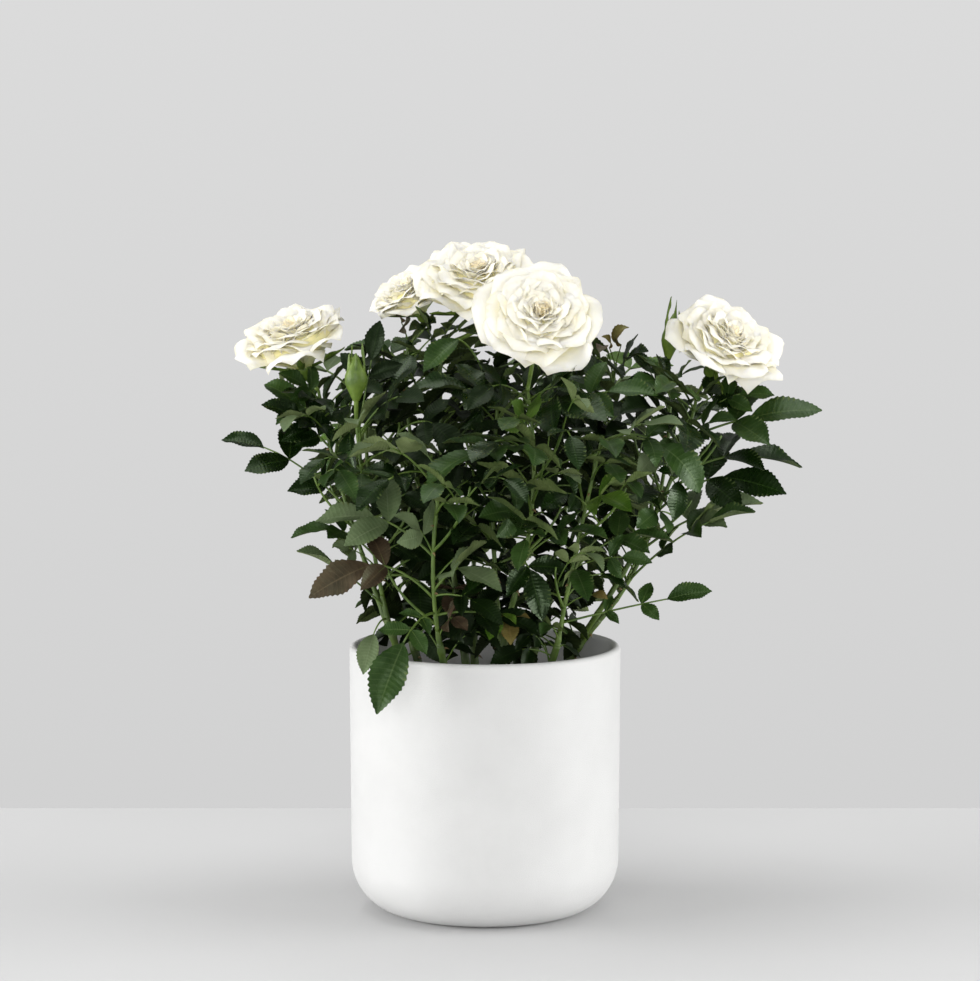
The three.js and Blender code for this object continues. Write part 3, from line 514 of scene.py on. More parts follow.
# Leaves with no solid of their own, in rows as above.
EXTRA_LEAVES = [
    ("back_right_1", 1.0, (71, 16, 284), 3, 18, 0, "young", {"curl": 2.9, "lean": (-0.5, -0.6, 0.7)}),
    ("back_right_1", 0.99, (55, 12, 277), 3, 13, 0, "young", {"curl": 2.0, "lean": (0.5, -0.5, 0.7)}),
    ("back_right_1", 0.94, (54, -12, 270), 8, 13, 0, "purple", {"curl": 1.2}),
    ("centre_2", 1.0, (-43, 12, 286), 3, 11, 1, "purple", {"curl": 1.6}),
    ("front_right_1", 0.2, (58, -52, 158), 4, 10, 0, "young", {"curl": 1.4}),
    ("left_1", 0.04, (-57, -50, 122), 8, 15, 0, "pale", {"curl": 0.6}),
    ("left_1", 0.1, (-88, -52, 181), 4, 24, 1, "pale", {"lean": LEVEL, "pair_size": 0.5}),
    ("left_1", 0.3, (-71, -56, 184), 3, 12, 1, "pale", {"lean": FORWARD}),
    ("centre_1", 0.98, (-3, -26, 280), 6, 19, 1, "dark"),
    ("centre_1", 0.95, (-15, -20, 285), 5, 18, 1, "mid"),
    ("centre_1", 0.97, (-36, -16, 281), 6, 19, 1, "dark"),
    ("centre_2", 0.95, (-23, -6, 284), 4, 17, 1, "dark"),
    ("front_2", 0.98, (10, -46, 262), 6, 19, 1, "dark"),
    ("front_1", 0.96, (44, -66, 257), 4, 17, 1, "dark"),
    ("right_2", 0.92, (127, 4, 248), 6, 19, 1, "dark"),
    ("right_2", 0.98, (111, -24, 251), 3, 19, 1, "dark"),
    ("right_2", 0.86, (138, -2, 249), 7, 19, 1, "mid"),
    ("right_2", 0.8, (118, -30, 240), 4, 19, 1, "mid"),
    ("right_1", 0.95, (76, -8, 262), 4, 18, 1, "dark"),
    ("right_1", 0.98, (105, 4, 262), 4, 16, 1, "mid", {"lean": LEVEL}),
    ("right_1", 0.9, (70, 12, 269), 5, 18, 1, "dark"),
    ("front_1", 0.02, (12, -62, 138), 6, 14, 1, "young"),
    ("front_1", 0.04, (2, -66, 141), 5, 14, 1, "fresh"),
    ("front_right_1", 0.03, (26, -64, 143), 6, 16, 1, "mid"),
    ("front_left_1", 0.04, (-8, -70, 146), 8, 16, 1, "purple"),
    ("centre_1", 0.02, (-16, -50, 148), 10, 18, 1, "purple"),
    ("left_2", 0.97, (-88, -27, 250), -2, 21, 1, "dark", {"curl": 0.9}),
    ("left_2", 0.95, (-98, -16, 261), 2, 18, 1, "mid", {"curl": 0.8}),
    ("left_2", 0.85, (-88, -30, 236), -2, 18, 1, "dark", {"curl": 0.8}),
]
for row in EXTRA_LEAVES:
    place_leaf(*row)

side_twigs = []
for order, shoot in enumerate(shoots.values()):
    random = seeded(SIDE_TWIGS["seed"] + 31 * order)
    for i in range(SIDE_TWIGS["each"]):
        at = mix(shoot.first, 0.8, (i + random()) / SIDE_TWIGS["each"])
        start, tangent = shoot.curve.point(at), shoot.curve.tangent(at)
        for attempt in range(SIDE_TWIGS["tries"]):
            heading = GROWTH["divergence"] * i + 1.3 * order + 1.1 * attempt + random()
            outward = vec(math.cos(heading), math.sin(heading), 0.1)
            length = mix(*SIDE_TWIGS["length"], random())
            end = start + unit(outward + 1.3 * tangent) * length
            curve = Curve.through(start, mix(start, end, 0.5) + 0.12 * length * outward, end)
            path = curve.point(np.linspace(0.3, 1, 8)).tolist()
            if all(is_in_crown(p) and is_clear(p, SIDE_TWIGS["gap"]) for p in path):
                occupy_curve(curve, f"{shoot.name}_{i}", SIDE_TWIGS["radius"][0])
                side_twigs.append(Shoot(f"{shoot.name}_{i}", curve, 0.12, ON_TWIGS["leaves"]))
                break

grow_leaves(side_twigs, ON_TWIGS)
grow_leaves(shoots.values(), ON_SHOOTS)
grow_leaves(shoots.values(), INWARD)
grow_leaves([Shoot(name, curve, 0.5, LOW_DOWN["leaves"]) for name, curve in stem_curves.items()], LOW_DOWN)

# ---- meshes


def place_object(name, data):
    made = bpy.data.objects.new(name, data)
    bpy.context.scene.collection.objects.link(made)
    return made


class Parts:
    """Gathers shapes of one kind and joins them into one piece."""

    def __init__(self):
        self.points, self.faces, self.slots, self.uvs, self.rims = [], [], [], [], []
        self.count = 0

    def add(self, points, faces, slot=0, uvs=None, rim=None):
        points = np.asarray(points, dtype=float).reshape(-1, 3)
        slots = [slot] * len(faces) if np.isscalar(slot) else list(slot)
        self.points.append(points)
        self.faces += [[int(i) + self.count for i in face] for face in faces]
        self.slots += slots
        uvs = np.zeros((len(points), 2)) if uvs is None else np.asarray(uvs, dtype=float)
        self.uvs.append(uvs.reshape(-1, 2))
        self.rims.append(np.zeros(len(points), bool) if rim is None else rim)
        self.count += len(points)

    def piece(self, name, nodes, slot, *materials):
        mesh = bpy.data.meshes.new(name)
        mesh.from_pydata((np.concatenate(self.points) * 0.001).tolist(), [], self.faces)
        for made in materials:
            mesh.materials.append(made)
        mesh.polygons.foreach_set("material_index", self.slots)
        mesh.polygons.foreach_set("use_smooth", [True] * len(mesh.polygons))
        corners = np.empty(len(mesh.loops), dtype=np.int32)
        mesh.loops.foreach_get("vertex_index", corners)
        layer = mesh.uv_layers.new(name="place")
        layer.data.foreach_set("uv", np.concatenate(self.uvs)[corners].ravel())
        ends = np.empty(2 * len(mesh.edges), dtype=np.int32)
        mesh.edges.foreach_get("vertices", ends)
        rims = np.concatenate(self.rims)[ends].reshape(-1, 2).all(axis=1)
        mesh.attributes.new("sharp_edge", "BOOLEAN", "EDGE").data.foreach_set("value", rims)
        mesh.update()
        piece = place_object(name, mesh)
        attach(piece, "root")
        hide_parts(*nodes)


def quads(grid):
    return np.stack([grid[:-1, :-1], grid[:-1, 1:], grid[1:, 1:], grid[1:, :-1]], axis=-1).reshape(-1, 4)


@functools.lru_cache
def lens_faces(rows, columns):
    """Two sheets that share their rim: the upper grid, then the lower grid's inner points."""
    upper = np.arange((rows + 1) * (columns + 1)).reshape(rows + 1, columns + 1)
    lower, inner = upper.copy(), np.zeros(upper.shape, bool)
    inner[1:-1, 1:-1] = True
    lower[inner] = upper.size + np.arange(inner.sum())
    faces = np.concatenate([quads(upper), quads(lower)[:, ::-1]])
    rim = np.concatenate([~inner.ravel(), np.zeros(inner.sum(), bool)])
    return faces, inner, rim


def add_lens(parts, upper, lower, uvs, slots):
    """A thin closed blade between two grids of points that meet at their rims."""
    rows, columns = upper.shape[0] - 1, upper.shape[1] - 1
    faces, inner, rim = lens_faces(rows, columns)
    points = np.concatenate([upper.reshape(-1, 3), lower[inner]])
    half = len(faces) // 2
    uvs = np.concatenate([uvs.reshape(-1, 2), uvs[inner]])
    parts.add(points, faces, [slots[0]] * half + [slots[1]] * half, uvs, rim)


def place_map(across, along, shape):
    """Where a blade's points lie on it: across from 0 to 1, and along from its base."""
    return np.stack([np.broadcast_to(0.5 + 0.5 * across, shape), np.broadcast_to(along, shape)], axis=-1)


def tube_faces(count, sides):
    """The faces of rings in a row, with a flat cap at each end."""
    grid = np.arange(count * sides).reshape(count, sides)
    around = np.concatenate([grid, grid[:, :1]], axis=1)
    return quads(around).tolist() + [grid[0][::-1].tolist(), grid[-1].tolist()]


def add_tube(parts, path, radii, sides, slot=0):
    """A closed round limb along a path, its rings carried on without twist."""
    path = np.asarray(path, dtype=float)
    radii = np.broadcast_to(np.asarray(radii, dtype=float).reshape(len(path), -1), (len(path), sides))
    tangents = np.gradient(path, axis=0)
    side = np.cross(tangents[0], vec(0.31, 0.95, 0.11))
    angles = np.arange(sides) * 2 * math.pi / sides
    rings = []
    for point, tangent, radius in zip(path, tangents, radii):
        tangent = unit(tangent)
        side = unit(side - tangent * side.dot(tangent))
        normal = np.cross(tangent, side)
        circle = np.outer(np.cos(angles), side) + np.outer(np.sin(angles), normal)
        rings.append(point + circle * radius[:, None])
    count = len(path)
    uvs = np.stack([np.tile(angles, count), np.repeat(np.linspace(0, 1, count), sides)], axis=1)
    parts.add(np.concatenate(rings), tube_faces(count, sides), slot, uvs)


# ---- leaflets with teeth and veins

LARGE_LEAFLET = 20
TEETH = {"large": 14, "small": 10, "sepal": 6}  # on each side
BLADE = {"thickness": 0.011, "slant": 0.1, "tooth": 0.072, "vein": 0.0055, "groove": 0.012, "wave": 0.03}
FOLDS = (0.1, 0.55)
COLUMNS = np.array([-1, -0.55, 0, 0.55, 1])[None, :]


def add_leaflet(parts, leaflet, random, toothed=True):
    """A blade with a toothed margin, a sunk midrib and quilted side veins."""
    teeth = TEETH["large" if leaflet.length > LARGE_LEAFLET else "small" if toothed else "sepal"]
    rows, outer = np.linspace(0, 1, 2 * teeth + 1)[:, None], np.abs(COLUMNS)
    arch = np.sin(np.pi * rows)
    share = rows + BLADE["slant"] * outer * arch * (1 - 0.4 * rows)
    on_vein = (np.arange(2 * teeth + 1) % 2 == 1)[:, None]
    tooth = np.where(on_vein, 1, -0.45) * BLADE["tooth"] * smooth(0, 0.12, rows) * toothed
    share = np.minimum(1, share + np.where(on_vein, 0.012, 0) * (outer == 1) * (rows < 0.97))
    width = np.maximum(leaf_profile(rows), 0.012) * (1 + np.where(outer == 1, tooth, 0))
    half = COLUMNS * 0.5 * leaflet.width * width
    size, between = leaflet.length, (outer > 0) & (outer < 1)
    relief = np.where(between, np.where(on_vein, -1, 1) * BLADE["vein"] * size, 0) * arch
    relief = relief - np.where(outer == 0, BLADE["groove"] * size, 0) * (1 - rows) * smooth(0, 0.1, rows)
    swing = 2 * np.pi * (rows * mix(1.0, 2.2, random()) + random() + 0.15 * COLUMNS)
    wave = BLADE["wave"] * size * outer * np.sin(swing) * arch
    angle = mix(*FOLDS, random())
    thick = BLADE["thickness"] * size * np.where(outer == 0, 2.2, 1) * np.where(outer == 1, 0, 1)
    upper = leaflet.points(share, None, half, relief + wave, angle)
    lower = leaflet.points(share, None, half, relief + wave - thick, angle)
    add_lens(parts, upper, lower, place_map(COLUMNS, rows, share.shape), (0, 1))


foliage = {tint: Parts() for tint in LEAF_TINTS}
twigs = Parts()
dress = seeded(4211)


def tint_of(leaf):
    """Inner leaves get the darkest tint, painted shade for the shaded inside of the crown; outer ones lean to
    the paler tint, partly painted sheen of the light on them; and a few are fresh.
    """
    tip, value = leaf.curve.end, dress()
    inner = math.hypot(tip[0], tip[1] + 10)
    # Leaves near the crown's middle get painted shade.
    if inner < 46 + 34 * value:
        return "painted_shade"
    # Leaves further out lean to the paler tints: partly painted light, as more light falls on them.
    value = value + 0.15 * smooth(60, 125, inner) - 0.1 * smooth(150, 230, tip[2])
    return "dark" if value < 0.42 else "mid" if value < 0.74 else "pale" if value < 0.97 else "fresh"


for leaf in leaves_made:
    tint = leaf.tint or tint_of(leaf)
    shares = np.linspace(0, leaf.stalk_end, 9)
    path = leaf.curve.point(shares)
    size = max(0.55, min(1, leaf.leaflets[0].length / 28))
    add_tube(twigs, path, mix(RACHIS[0] * 0.9, RACHIS[1] * 0.8, np.linspace(0, 1, 9)) * size, 5)
    for number, leaflet in enumerate(leaf.leaflets):
        if number:  # The pairs stand on the bent stalk here, and on its chords in the source.
            leaflet.base = leaf.curve.point(leaf.stalk_end * PAIRS_AT[(number - 1) // 2])
        add_leaflet(foliage[tint], leaflet, dress)
        rib = leaflet.points(np.linspace(0, 0.8, 6), None, np.zeros(6), -0.02 * leaflet.length)
        add_tube(twigs, rib, np.linspace(0.5, 0.16, 6) * size, 3)

# ---- stems and twigs

SLIM = 0.82  # of the sturdy solids' radii
JOINT_RADII, PRICKLE_RADII = (1.65, 1.7, 1.5), (0.75, 0.4, 0.06)


def bark_tube(parts, curve, low, high, radius, sides, step, random):
    """A limb with ridges along it and a swelling at each of its nodes."""
    count = max(4, int(curve.length() * (high - low) / step))
    shares = np.linspace(low, high, count + 1)
    phase, ridges = random() * 6.28, 3 + int(random() * 3)
    angles = np.arange(sides) * 2 * math.pi / sides
    radii = SLIM * np.array([radius(share) for share in shares])[:, None]
    along = (shares * curve.length())[:, None]
    relief = 0.035 * np.sin(ridges * angles + 0.06 * along + phase) + 0.03 * np.sin(0.9 * along + phase)
    nodes = 0.16 * np.exp(-(((along + 7 * phase) % 21 - 10.5) / 1.5) ** 2)
    add_tube(parts, curve.point(shares), radii * (1 + relief + nodes), sides)


def add_prickles(parts, curve, low, high, radius, random, every=13):
    """Small hooked thorns that point a little down."""
    count = int(curve.length() * (high - low) / every)
    for i in range(count):
        at = mix(low, high, (i + random()) / count)
        point, tangent = curve.point(at), curve.tangent(at)
        angle = 6.28 * random()
        side = unit(np.cross(tangent, vec(0.3, 0.9, 0.1)))
        out = side * math.cos(angle) + np.cross(tangent, side) * math.sin(angle)
        r, size = SLIM * radius(at), mix(1.6, 3.0, random())
        path = [point + out * (r + rise) for rise in (-0.4, 0.45 * size, size)]
        path[-1] = path[-1] - tangent * 0.5 * size
        add_tube(parts, path, PRICKLE_RADII, 5, 1)


def bough_radius(shoot):
    def radius(t):
        if t <= shoot.mass:
            return mix(*BOUGH, t / shoot.mass)
        return mix(*TWIG, (t - shoot.mass) / (1 - shoot.mass))

    return radius


limbs = Parts()
bark_random = seeded(77)
for name, curve in stem_curves.items():
    length = curve.length()
    radius = functools.partial(stem_radius, length=length)
    bark_tube(limbs, curve, 0, 1, radius, 12, 0.8, bark_random)
    add_prickles(limbs, curve, 0.25, 1, radius, bark_random)
for name, shoot in shoots.items():
    stem, at = SHOOTS[name][:2]
    radius = bough_radius(shoot)
    joint = stem_curves[stem].point(at)
    add_tube(limbs, [joint, mix(joint, shoot.curve.start, 0.6), shoot.curve.point(0.01)], JOINT_RADII, 10)
    bark_tube(limbs, shoot.curve, 0, shoot.mass, radius, 10, 1.0, bark_random)
    add_prickles(limbs, shoot.curve, 0.03, shoot.mass, radius, bark_random)
    bark_tube(twigs, shoot.curve, shoot.mass, 1, radius, 8, 1.6, bark_random)
    add_prickles(twigs, shoot.curve, shoot.mass, 0.85, radius, bark_random, 22)
for twig in side_twigs:
    add_tube(twigs, twig.curve.point(np.linspace(0, 1, 9)), np.linspace(*SIDE_TWIGS["radius"], 9), 6)

# ---- blooms

PETALS = {"count": 88, "golden": math.radians(137.5), "heart": 0.8, "outer": 0.2, "half_thickness": 0.2}
# Each of the outermost petal and of the heart's. Sizes, places and ruffle are shares of the bloom's width,
# start and end the spine's tilt in degrees, and cup, roll and flip say how far the blade curls.
PETAL = {
    "length": (0.56, 0.3), "half": (0.275, 0.085), "start": (46, -10), "end": (96, 4),
    "out": (0.05, 0.012), "up": (0.02, 0.09), "cup": (0.45, 1.35), "roll": (0.42, 0.1),
    "flip": (0.75, 0.55), "ruffle": (0.024, 0.016),
}
# Radius and height of turned shapes: shares of the bloom's width, or of the bud's radius and length.
CORE = [
    (0.02, 0.05), (0.16, 0.13), (0.27, 0.2), (0.315, 0.24), (0.31, 0.27), (0.27, 0.31), (0.2, 0.35),
    (0.12, 0.362), (0.06, 0.33), (0.01, 0.31),
]
HIP = [
    (0.01, -0.1), (0.03, -0.095), (0.052, -0.075), (0.062, -0.045), (0.058, -0.01), (0.075, 0.02),
    (0.04, 0.04),
]
BUD = [
    (0.05, -0.1), (0.3, -0.08), (0.42, 0.0), (0.58, 0.1), (0.82, 0.23), (0.97, 0.36), (0.95, 0.5),
    (0.7, 0.7), (0.38, 0.88), (0.05, 1.04),
]
SEPALS = {"count": 5, "turn": 1.2566, "curl": -0.35}
U = np.linspace(-1, 1, 13)[None, :]
V = (np.linspace(0, 1, 13) ** 0.85)[:, None]


def flower_frame(face):
    side = unit(np.cross(face, vec(0.2, 0.1, 1)))
    return side, np.cross(face, side), face


def summed(rate, step):
    """The running sum of a rate, from 0."""
    return np.concatenate([[0], np.cumsum(0.5 * (rate[1:] + rate[:-1]) * step)])


def add_petal(parts, base, axes, width, g, azimuth, random):
    """One petal: g runs from 0, the outermost, to 1 in the heart."""

    def jitter(size):
        return (random() - 0.5) * 2 * size

    length = width * (mix(*PETAL["length"], g**0.8) + jitter(0.025))
    half = width * mix(*PETAL["half"], g**0.75) * (1 + jitter(0.1))
    start = math.radians(mix(*PETAL["start"], g**0.5)) + jitter(0.06)
    end = math.radians(mix(*PETAL["end"], g**0.62)) + jitter(0.12)
    cup, roll = mix(*PETAL["cup"], g), mix(*PETAL["roll"], g) * (1 + jitter(0.5))

    s = np.linspace(0, 1, 33)  # The petal's spine, from its claw to its tip.
    tilt = start + (end - start) * s**1.4 + mix(*PETAL["flip"], g) * (1 + jitter(0.5)) * smooth(0.7, 1, s)
    out = width * mix(*PETAL["out"], g) + summed(np.sin(tilt), length * s[1])
    up = width * mix(*PETAL["up"], g) + summed(np.cos(tilt), length * s[1])

    point = mix(0.04, 0.22, random() ** 1.3) * (1 - 0.6 * g)
    reach = V * (1 - 0.22 * np.abs(U) ** 2.8 + point * (1 - np.abs(U)) ** 2)
    reach = np.clip(reach / (1 + point), 0, 1)
    span = half * (0.3 + 0.7 * smooth(0, 0.6, V)) * (1 - 0.08 * smooth(0.8, 1, V))
    x = U * span
    bend = cup / half
    aside = np.sin(bend * x) / bend
    inward = (1 - np.cos(bend * x)) / bend
    inward = inward - roll * half * np.abs(U) ** 3 * V**2
    a, b = 6.28 * random(), 6.28 * random()
    ruffle = mix(*PETAL["ruffle"], g) * width
    inward = inward + ruffle * V**2 * np.sin(3.1 * U + a) + 0.45 * ruffle * V**3 * np.sin(8.5 * U + b)
    r, z, t = np.interp(reach, s, out), np.interp(reach, s, up), np.interp(reach, s, tilt)
    twist = jitter(0.25) * V
    sine, cosine = np.sin(twist), np.cos(twist)
    aside, inward = aside * cosine - inward * sine, aside * sine + inward * cosine

    def placed(lift):
        height = inward + lift
        radial, level = r - np.cos(t) * height, z + np.sin(t) * height
        ca, sa = math.cos(azimuth), math.sin(azimuth)
        local = np.stack([radial * ca - aside * sa, radial * sa + aside * ca, level], axis=-1)
        return base + local @ np.stack(axes)

    lift = PETALS["half_thickness"] * (1 - np.abs(U) ** 6) * np.sin(np.pi * np.clip(V, 0.001, 0.999)) ** 0.3
    slots = (1, 1) if g > PETALS["heart"] else (0, 2 if g < PETALS["outer"] else 0)
    add_lens(parts, placed(lift), placed(-lift), place_map(U, V, reach.shape), slots)


# ---- hips, sepals and buds

green = Parts()


def sepal(base, axes, azimuth, tilt, length, width):
    side, other, face = axes
    out = side * math.cos(azimuth) + other * math.sin(azimuth)
    across = np.cross(face, out)
    along = out * math.sin(tilt) + face * math.cos(tilt)
    base = base + out * 0.06 * width
    return Leaflet(base, along, across, np.cross(along, across), length, width, SEPALS["curl"])


def add_lathe(parts, base, axes, profile, across=1, along=1, sides=14):
    """A turned shape from (radius, height) pairs, which 'across' and 'along' bring to size."""
    angles = np.arange(sides) * 2 * math.pi / sides
    side, other, face = axes
    circle = np.outer(np.cos(angles), side) + np.outer(np.sin(angles), other)
    rings = [base + face * (z * along) + circle * (r * across) for r, z in profile]
    parts.add(np.concatenate(rings), tube_faces(len(profile), sides))


def add_green_stalk(curve, radius):
    add_tube(green, curve.point(np.linspace(0, 1, 16)), np.linspace(TWIG[1], radius, 16), 8)


green_random = seeded(303)
petals = {}
# The open flower on the left looks further to the front than its solid does.
shoot, heart, _, width = BLOOMS["left"]
blooms["left"] = place_bloom(shoot, heart, (-0.27, -0.28, 0.92), width)
for number, (name, bloom) in enumerate(blooms.items()):
    random = seeded(1200 + 17 * number)
    axes, width = flower_frame(bloom["face"]), bloom["width"]
    petals[name] = Parts()
    for i in range(PETALS["count"]):
        g, azimuth = i / (PETALS["count"] - 1), PETALS["golden"] * i + 0.12 * (random() - 0.5)
        add_petal(petals[name], bloom["base"], axes, width, g, azimuth, random)
    add_lathe(petals[name], bloom["base"], axes, CORE, width, width, 24)
    add_lathe(green, bloom["base"], axes, HIP, width, width)
    add_green_stalk(bloom["stalk"], 1.35)
    for i in range(SEPALS["count"]):
        azimuth, tilt = i * SEPALS["turn"] + number, mix(1.1, 1.6, green_random())
        blade = sepal(bloom["base"], axes, azimuth, tilt, 0.4 * width, 0.065 * width)
        add_leaflet(green, blade, green_random, False)
for name, bud in buds.items():
    axes, length, radius = flower_frame(bud["face"]), bud["length"], bud["radius"]
    add_lathe(green, bud["base"], axes, BUD, radius, length)
    add_green_stalk(bud["stalk"], 1.2)
    for i in range(SEPALS["count"]):
        root, reach = bud["base"] + axes[2] * 0.2 * length, mix(0.6, 1.35, green_random()) * length
        blade = sepal(root, axes, i * SEPALS["turn"], 0.16, reach, 0.4 * radius)
        blade.base = blade.base + unit(blade.along - axes[2] * blade.along.dot(axes[2])) * 0.55 * radius
        add_leaflet(green, blade, green_random, False)

# ---- pot and soil


def pot_profile():
    """From the middle of the underside, up the outside, over the lip and down to under the soil."""
    radius, half_wall, taper = POT["radius"], POT["wall"] / 2, POT["taper"]
    brim, bottom = POT["height"] - half_wall, SOIL["top"] - SOIL["skirt"]
    turns = np.linspace(0, math.pi / 2, 19)
    outer = [(mix(POT["foot"], radius - taper, math.sin(a)), POT["corner"] * (1 - math.cos(a))) for a in turns]
    side = [(radius - taper * (1 - t), mix(POT["corner"], brim, t)) for t in np.linspace(0.1, 1, 12)]
    turns = np.linspace(0.3, math.pi, 9)
    lip = [(radius - half_wall + half_wall * math.cos(a), brim + half_wall * math.sin(a)) for a in turns]
    inside = [(radius - POT["wall"] - taper * t, mix(brim, bottom, t)) for t in (0.3, 0.6, 1)]
    return [(0.5, 0), (POT["foot"] * 0.5, 0), *outer, *side, *lip, *inside, (0.5, bottom)]


pot = Parts()
add_lathe(pot, vec(0, 0, 0), (vec(1, 0, 0), vec(0, 1, 0), vec(0, 0, 1)), pot_profile(), sides=160)

soil = Parts()
SOIL_RADIUS = POT["radius"] - POT["wall"] - POT["taper"] * 0.7 - 0.2
LUMPS = [(0.11, 1.3), (0.23, 0.8), (0.5, 0.5), (1.1, 0.3)]  # radians a millimetre, and height
CRUMBS = {"count": 420, "size": (0.5, 1.9), "perlite": 0.12}


def soil_height(x, y):
    """Lumps of peat about the soil's level."""
    lumps = 0
    for i, (scale, high) in enumerate(LUMPS):
        a = 1.7 * i + 0.4
        one = np.sin(scale * (x * math.cos(a) + y * math.sin(a)) + a)
        other = np.sin(scale * 1.3 * (y * math.cos(a) - x * math.sin(a)) + 2 * a)
        lumps = lumps + high * one * other
    return SOIL["top"] + lumps - 0.4


def add_ground(rings, around):
    """The lumpy top and, as a last ring, the foot of the skirt that goes down the wall."""
    reach = np.append(np.linspace(0.02, 1, rings), 1)[:, None] * SOIL_RADIUS
    turns = np.arange(around)[None, :] * 2 * math.pi / around
    x, y = reach * np.cos(turns), reach * np.sin(turns)
    ground = np.stack([x, y, soil_height(x, y)], axis=-1)
    ground[-1, :, 2] = SOIL["top"] - SOIL["skirt"]
    soil.add(ground, tube_faces(rings + 1, around))


add_ground(46, 150)
crumb = seeded(5150)
for _ in range(CRUMBS["count"]):
    r, a = SOIL_RADIUS * math.sqrt(crumb()) * 0.96, 6.28 * crumb()
    size = mix(*CRUMBS["size"], crumb() ** 2)
    x, y = r * math.cos(a), r * math.sin(a)
    centre = vec(x, y, float(soil_height(x, y)) + 0.2 * size)
    corners = [unit(vec(*c)) * size * mix(0.6, 1.1, crumb()) for c in itertools.product((-1, 1), repeat=3)]
    points = [centre + c * vec(1, mix(0.6, 1, crumb()), 0.6) for c in corners]
    faces = [(0, 1, 3, 2), (4, 6, 7, 5), (0, 4, 5, 1), (2, 3, 7, 6), (0, 2, 6, 4), (1, 5, 7, 3)]
    soil.add(points, faces, 1 if crumb() < CRUMBS["perlite"] else 0)

# ---- materials


class Shader:
    """A procedural material: short names for the few nodes that it is made of."""

    def __init__(self, name, **sockets):
        self.material = bpy.data.materials.new(name)
        self.material.use_nodes = True
        self.nodes, self.links = self.material.node_tree.nodes, self.material.node_tree.links
        self.surface = self.nodes["Principled BSDF"]
        for socket, value in sockets.items():
            self.surface.inputs[socket.replace("_", " ").title().replace("Ior", "IOR")].default_value = value
        coordinates = self.nodes.new("ShaderNodeTexCoord")
        self.place = coordinates.outputs["Object"]
        split = self.nodes.new("ShaderNodeSeparateXYZ")
        spot = self.nodes.new("ShaderNodeUVMap")
        spot.uv_map = "place"
        self.links.new(spot.outputs["UV"], split.inputs[0])
        self.u, self.v = split.outputs[0], split.outputs[1]

    def put(self, node, socket, value):
        if isinstance(value, bpy.types.NodeSocket):
            self.links.new(value, node.inputs[socket])
        else:
            node.inputs[socket].default_value = value

    def fill(self, node, **values):
        for socket, value in values.items():
            self.put(node, socket, value)

    def noise(self, scale, detail, roughness=0.55):
        node = self.nodes.new("ShaderNodeTexNoise")
        self.fill(node, Vector=self.place, Scale=scale, Detail=detail, Roughness=roughness)
        return node.outputs["Fac"]

    def maths(self, operation, a, b=0.0):
        node = self.nodes.new("ShaderNodeMath")
        node.operation = operation
        for socket, value in enumerate((a, b)):
            self.put(node, socket, value)
        return node.outputs[0]

    def ramp(self, value, *stops):
        """Colours or grey values at places from 0 to 1."""
        node = self.nodes.new("ShaderNodeValToRGB")
        elements = node.color_ramp.elements
        while len(elements) < len(stops):
            elements.new(0.5)
        for element, (place, colour) in zip(elements, stops):
            element.position = place
            element.color = rgb(*colour) if isinstance(colour, tuple) else (colour, colour, colour, 1)
        self.put(node, 0, value)
        return node.outputs["Color"]

    def blend(self, share, a, b):
        node = self.nodes.new("ShaderNodeMix")
        node.data_type = "RGBA"
        for socket, value in ((0, share), (6, a), (7, b)):
            self.put(node, socket, rgb(*value) if isinstance(value, tuple) else value)
        return node.outputs[2]

    def colour(self, value):
        self.put(self.surface, "Base Color", value)

    def rough(self, value, span):
        self.put(self.surface, "Roughness", self.ramp(value, (0.25, span[0]), (0.75, span[1])))

    def bump(self, height, distance, strength):
        node = self.nodes.new("ShaderNodeBump")
        self.fill(node, Height=height, Distance=distance, Strength=strength)
        self.links.new(node.outputs["Normal"], self.surface.inputs["Normal"])


def rgb(*levels):
    """An sRGB colour from 0 to 255, as the linear colour that a shader takes."""
    shares = [level / 255 for level in levels]
    return (*(v / 12.92 if v <= 0.04045 else ((v + 0.055) / 1.055) ** 2.4 for v in shares), 1)


def leaf_veins(shader, shift):
    """Up and down again once a tooth, from the leaf's base on."""
    along = shader.maths("ADD", shader.v, shift / TEETH["large"])
    return shader.maths("PINGPONG", shader.maths("MULTIPLY", along, 2.0 * TEETH["large"]), 1.0)


def leaf_top(name, dark, light, vein, rough, gloss):
    shader = Shader(name, ior=1.42, specular_ior_level=gloss)
    shader.surface.inputs["Specular Tint"].default_value = (0.74, 1.0, 0.6, 1)
    rib = shader.maths("ABSOLUTE", shader.maths("SUBTRACT", shader.u, 0.5))
    midrib, side = shader.ramp(rib, (0.0, 1.0), (0.035, 0.0)), leaf_veins(shader, 0.5)
    veins = shader.ramp(side, (0.0, 1.0), (0.2, 0.0))
    body = shader.ramp(shader.noise(70, 4), (0.3, dark), (0.72, light))
    body = shader.blend(shader.maths("MULTIPLY", veins, 0.16), body, vein)
    shader.colour(shader.blend(shader.maths("MULTIPLY", midrib, 0.4), body, vein))
    shader.rough(shader.noise(260, 3), rough)
    relief = shader.maths("ADD", shader.noise(900, 2), shader.maths("MULTIPLY", side, 0.5))
    shader.bump(relief, FINE_RELIEF, 0.4)
    return shader.material


def leaf_under(name, dark, light):
    shader = Shader(name, ior=1.35, specular_ior_level=0.25)
    shader.colour(shader.ramp(shader.noise(110, 4), (0.3, dark), (0.7, light)))
    shader.rough(shader.noise(300, 2), (0.6, 0.75))
    shader.bump(shader.maths("ADD", shader.noise(1200, 2), leaf_veins(shader, 0.0)), FINE_RELIEF, 0.4)
    return shader.material


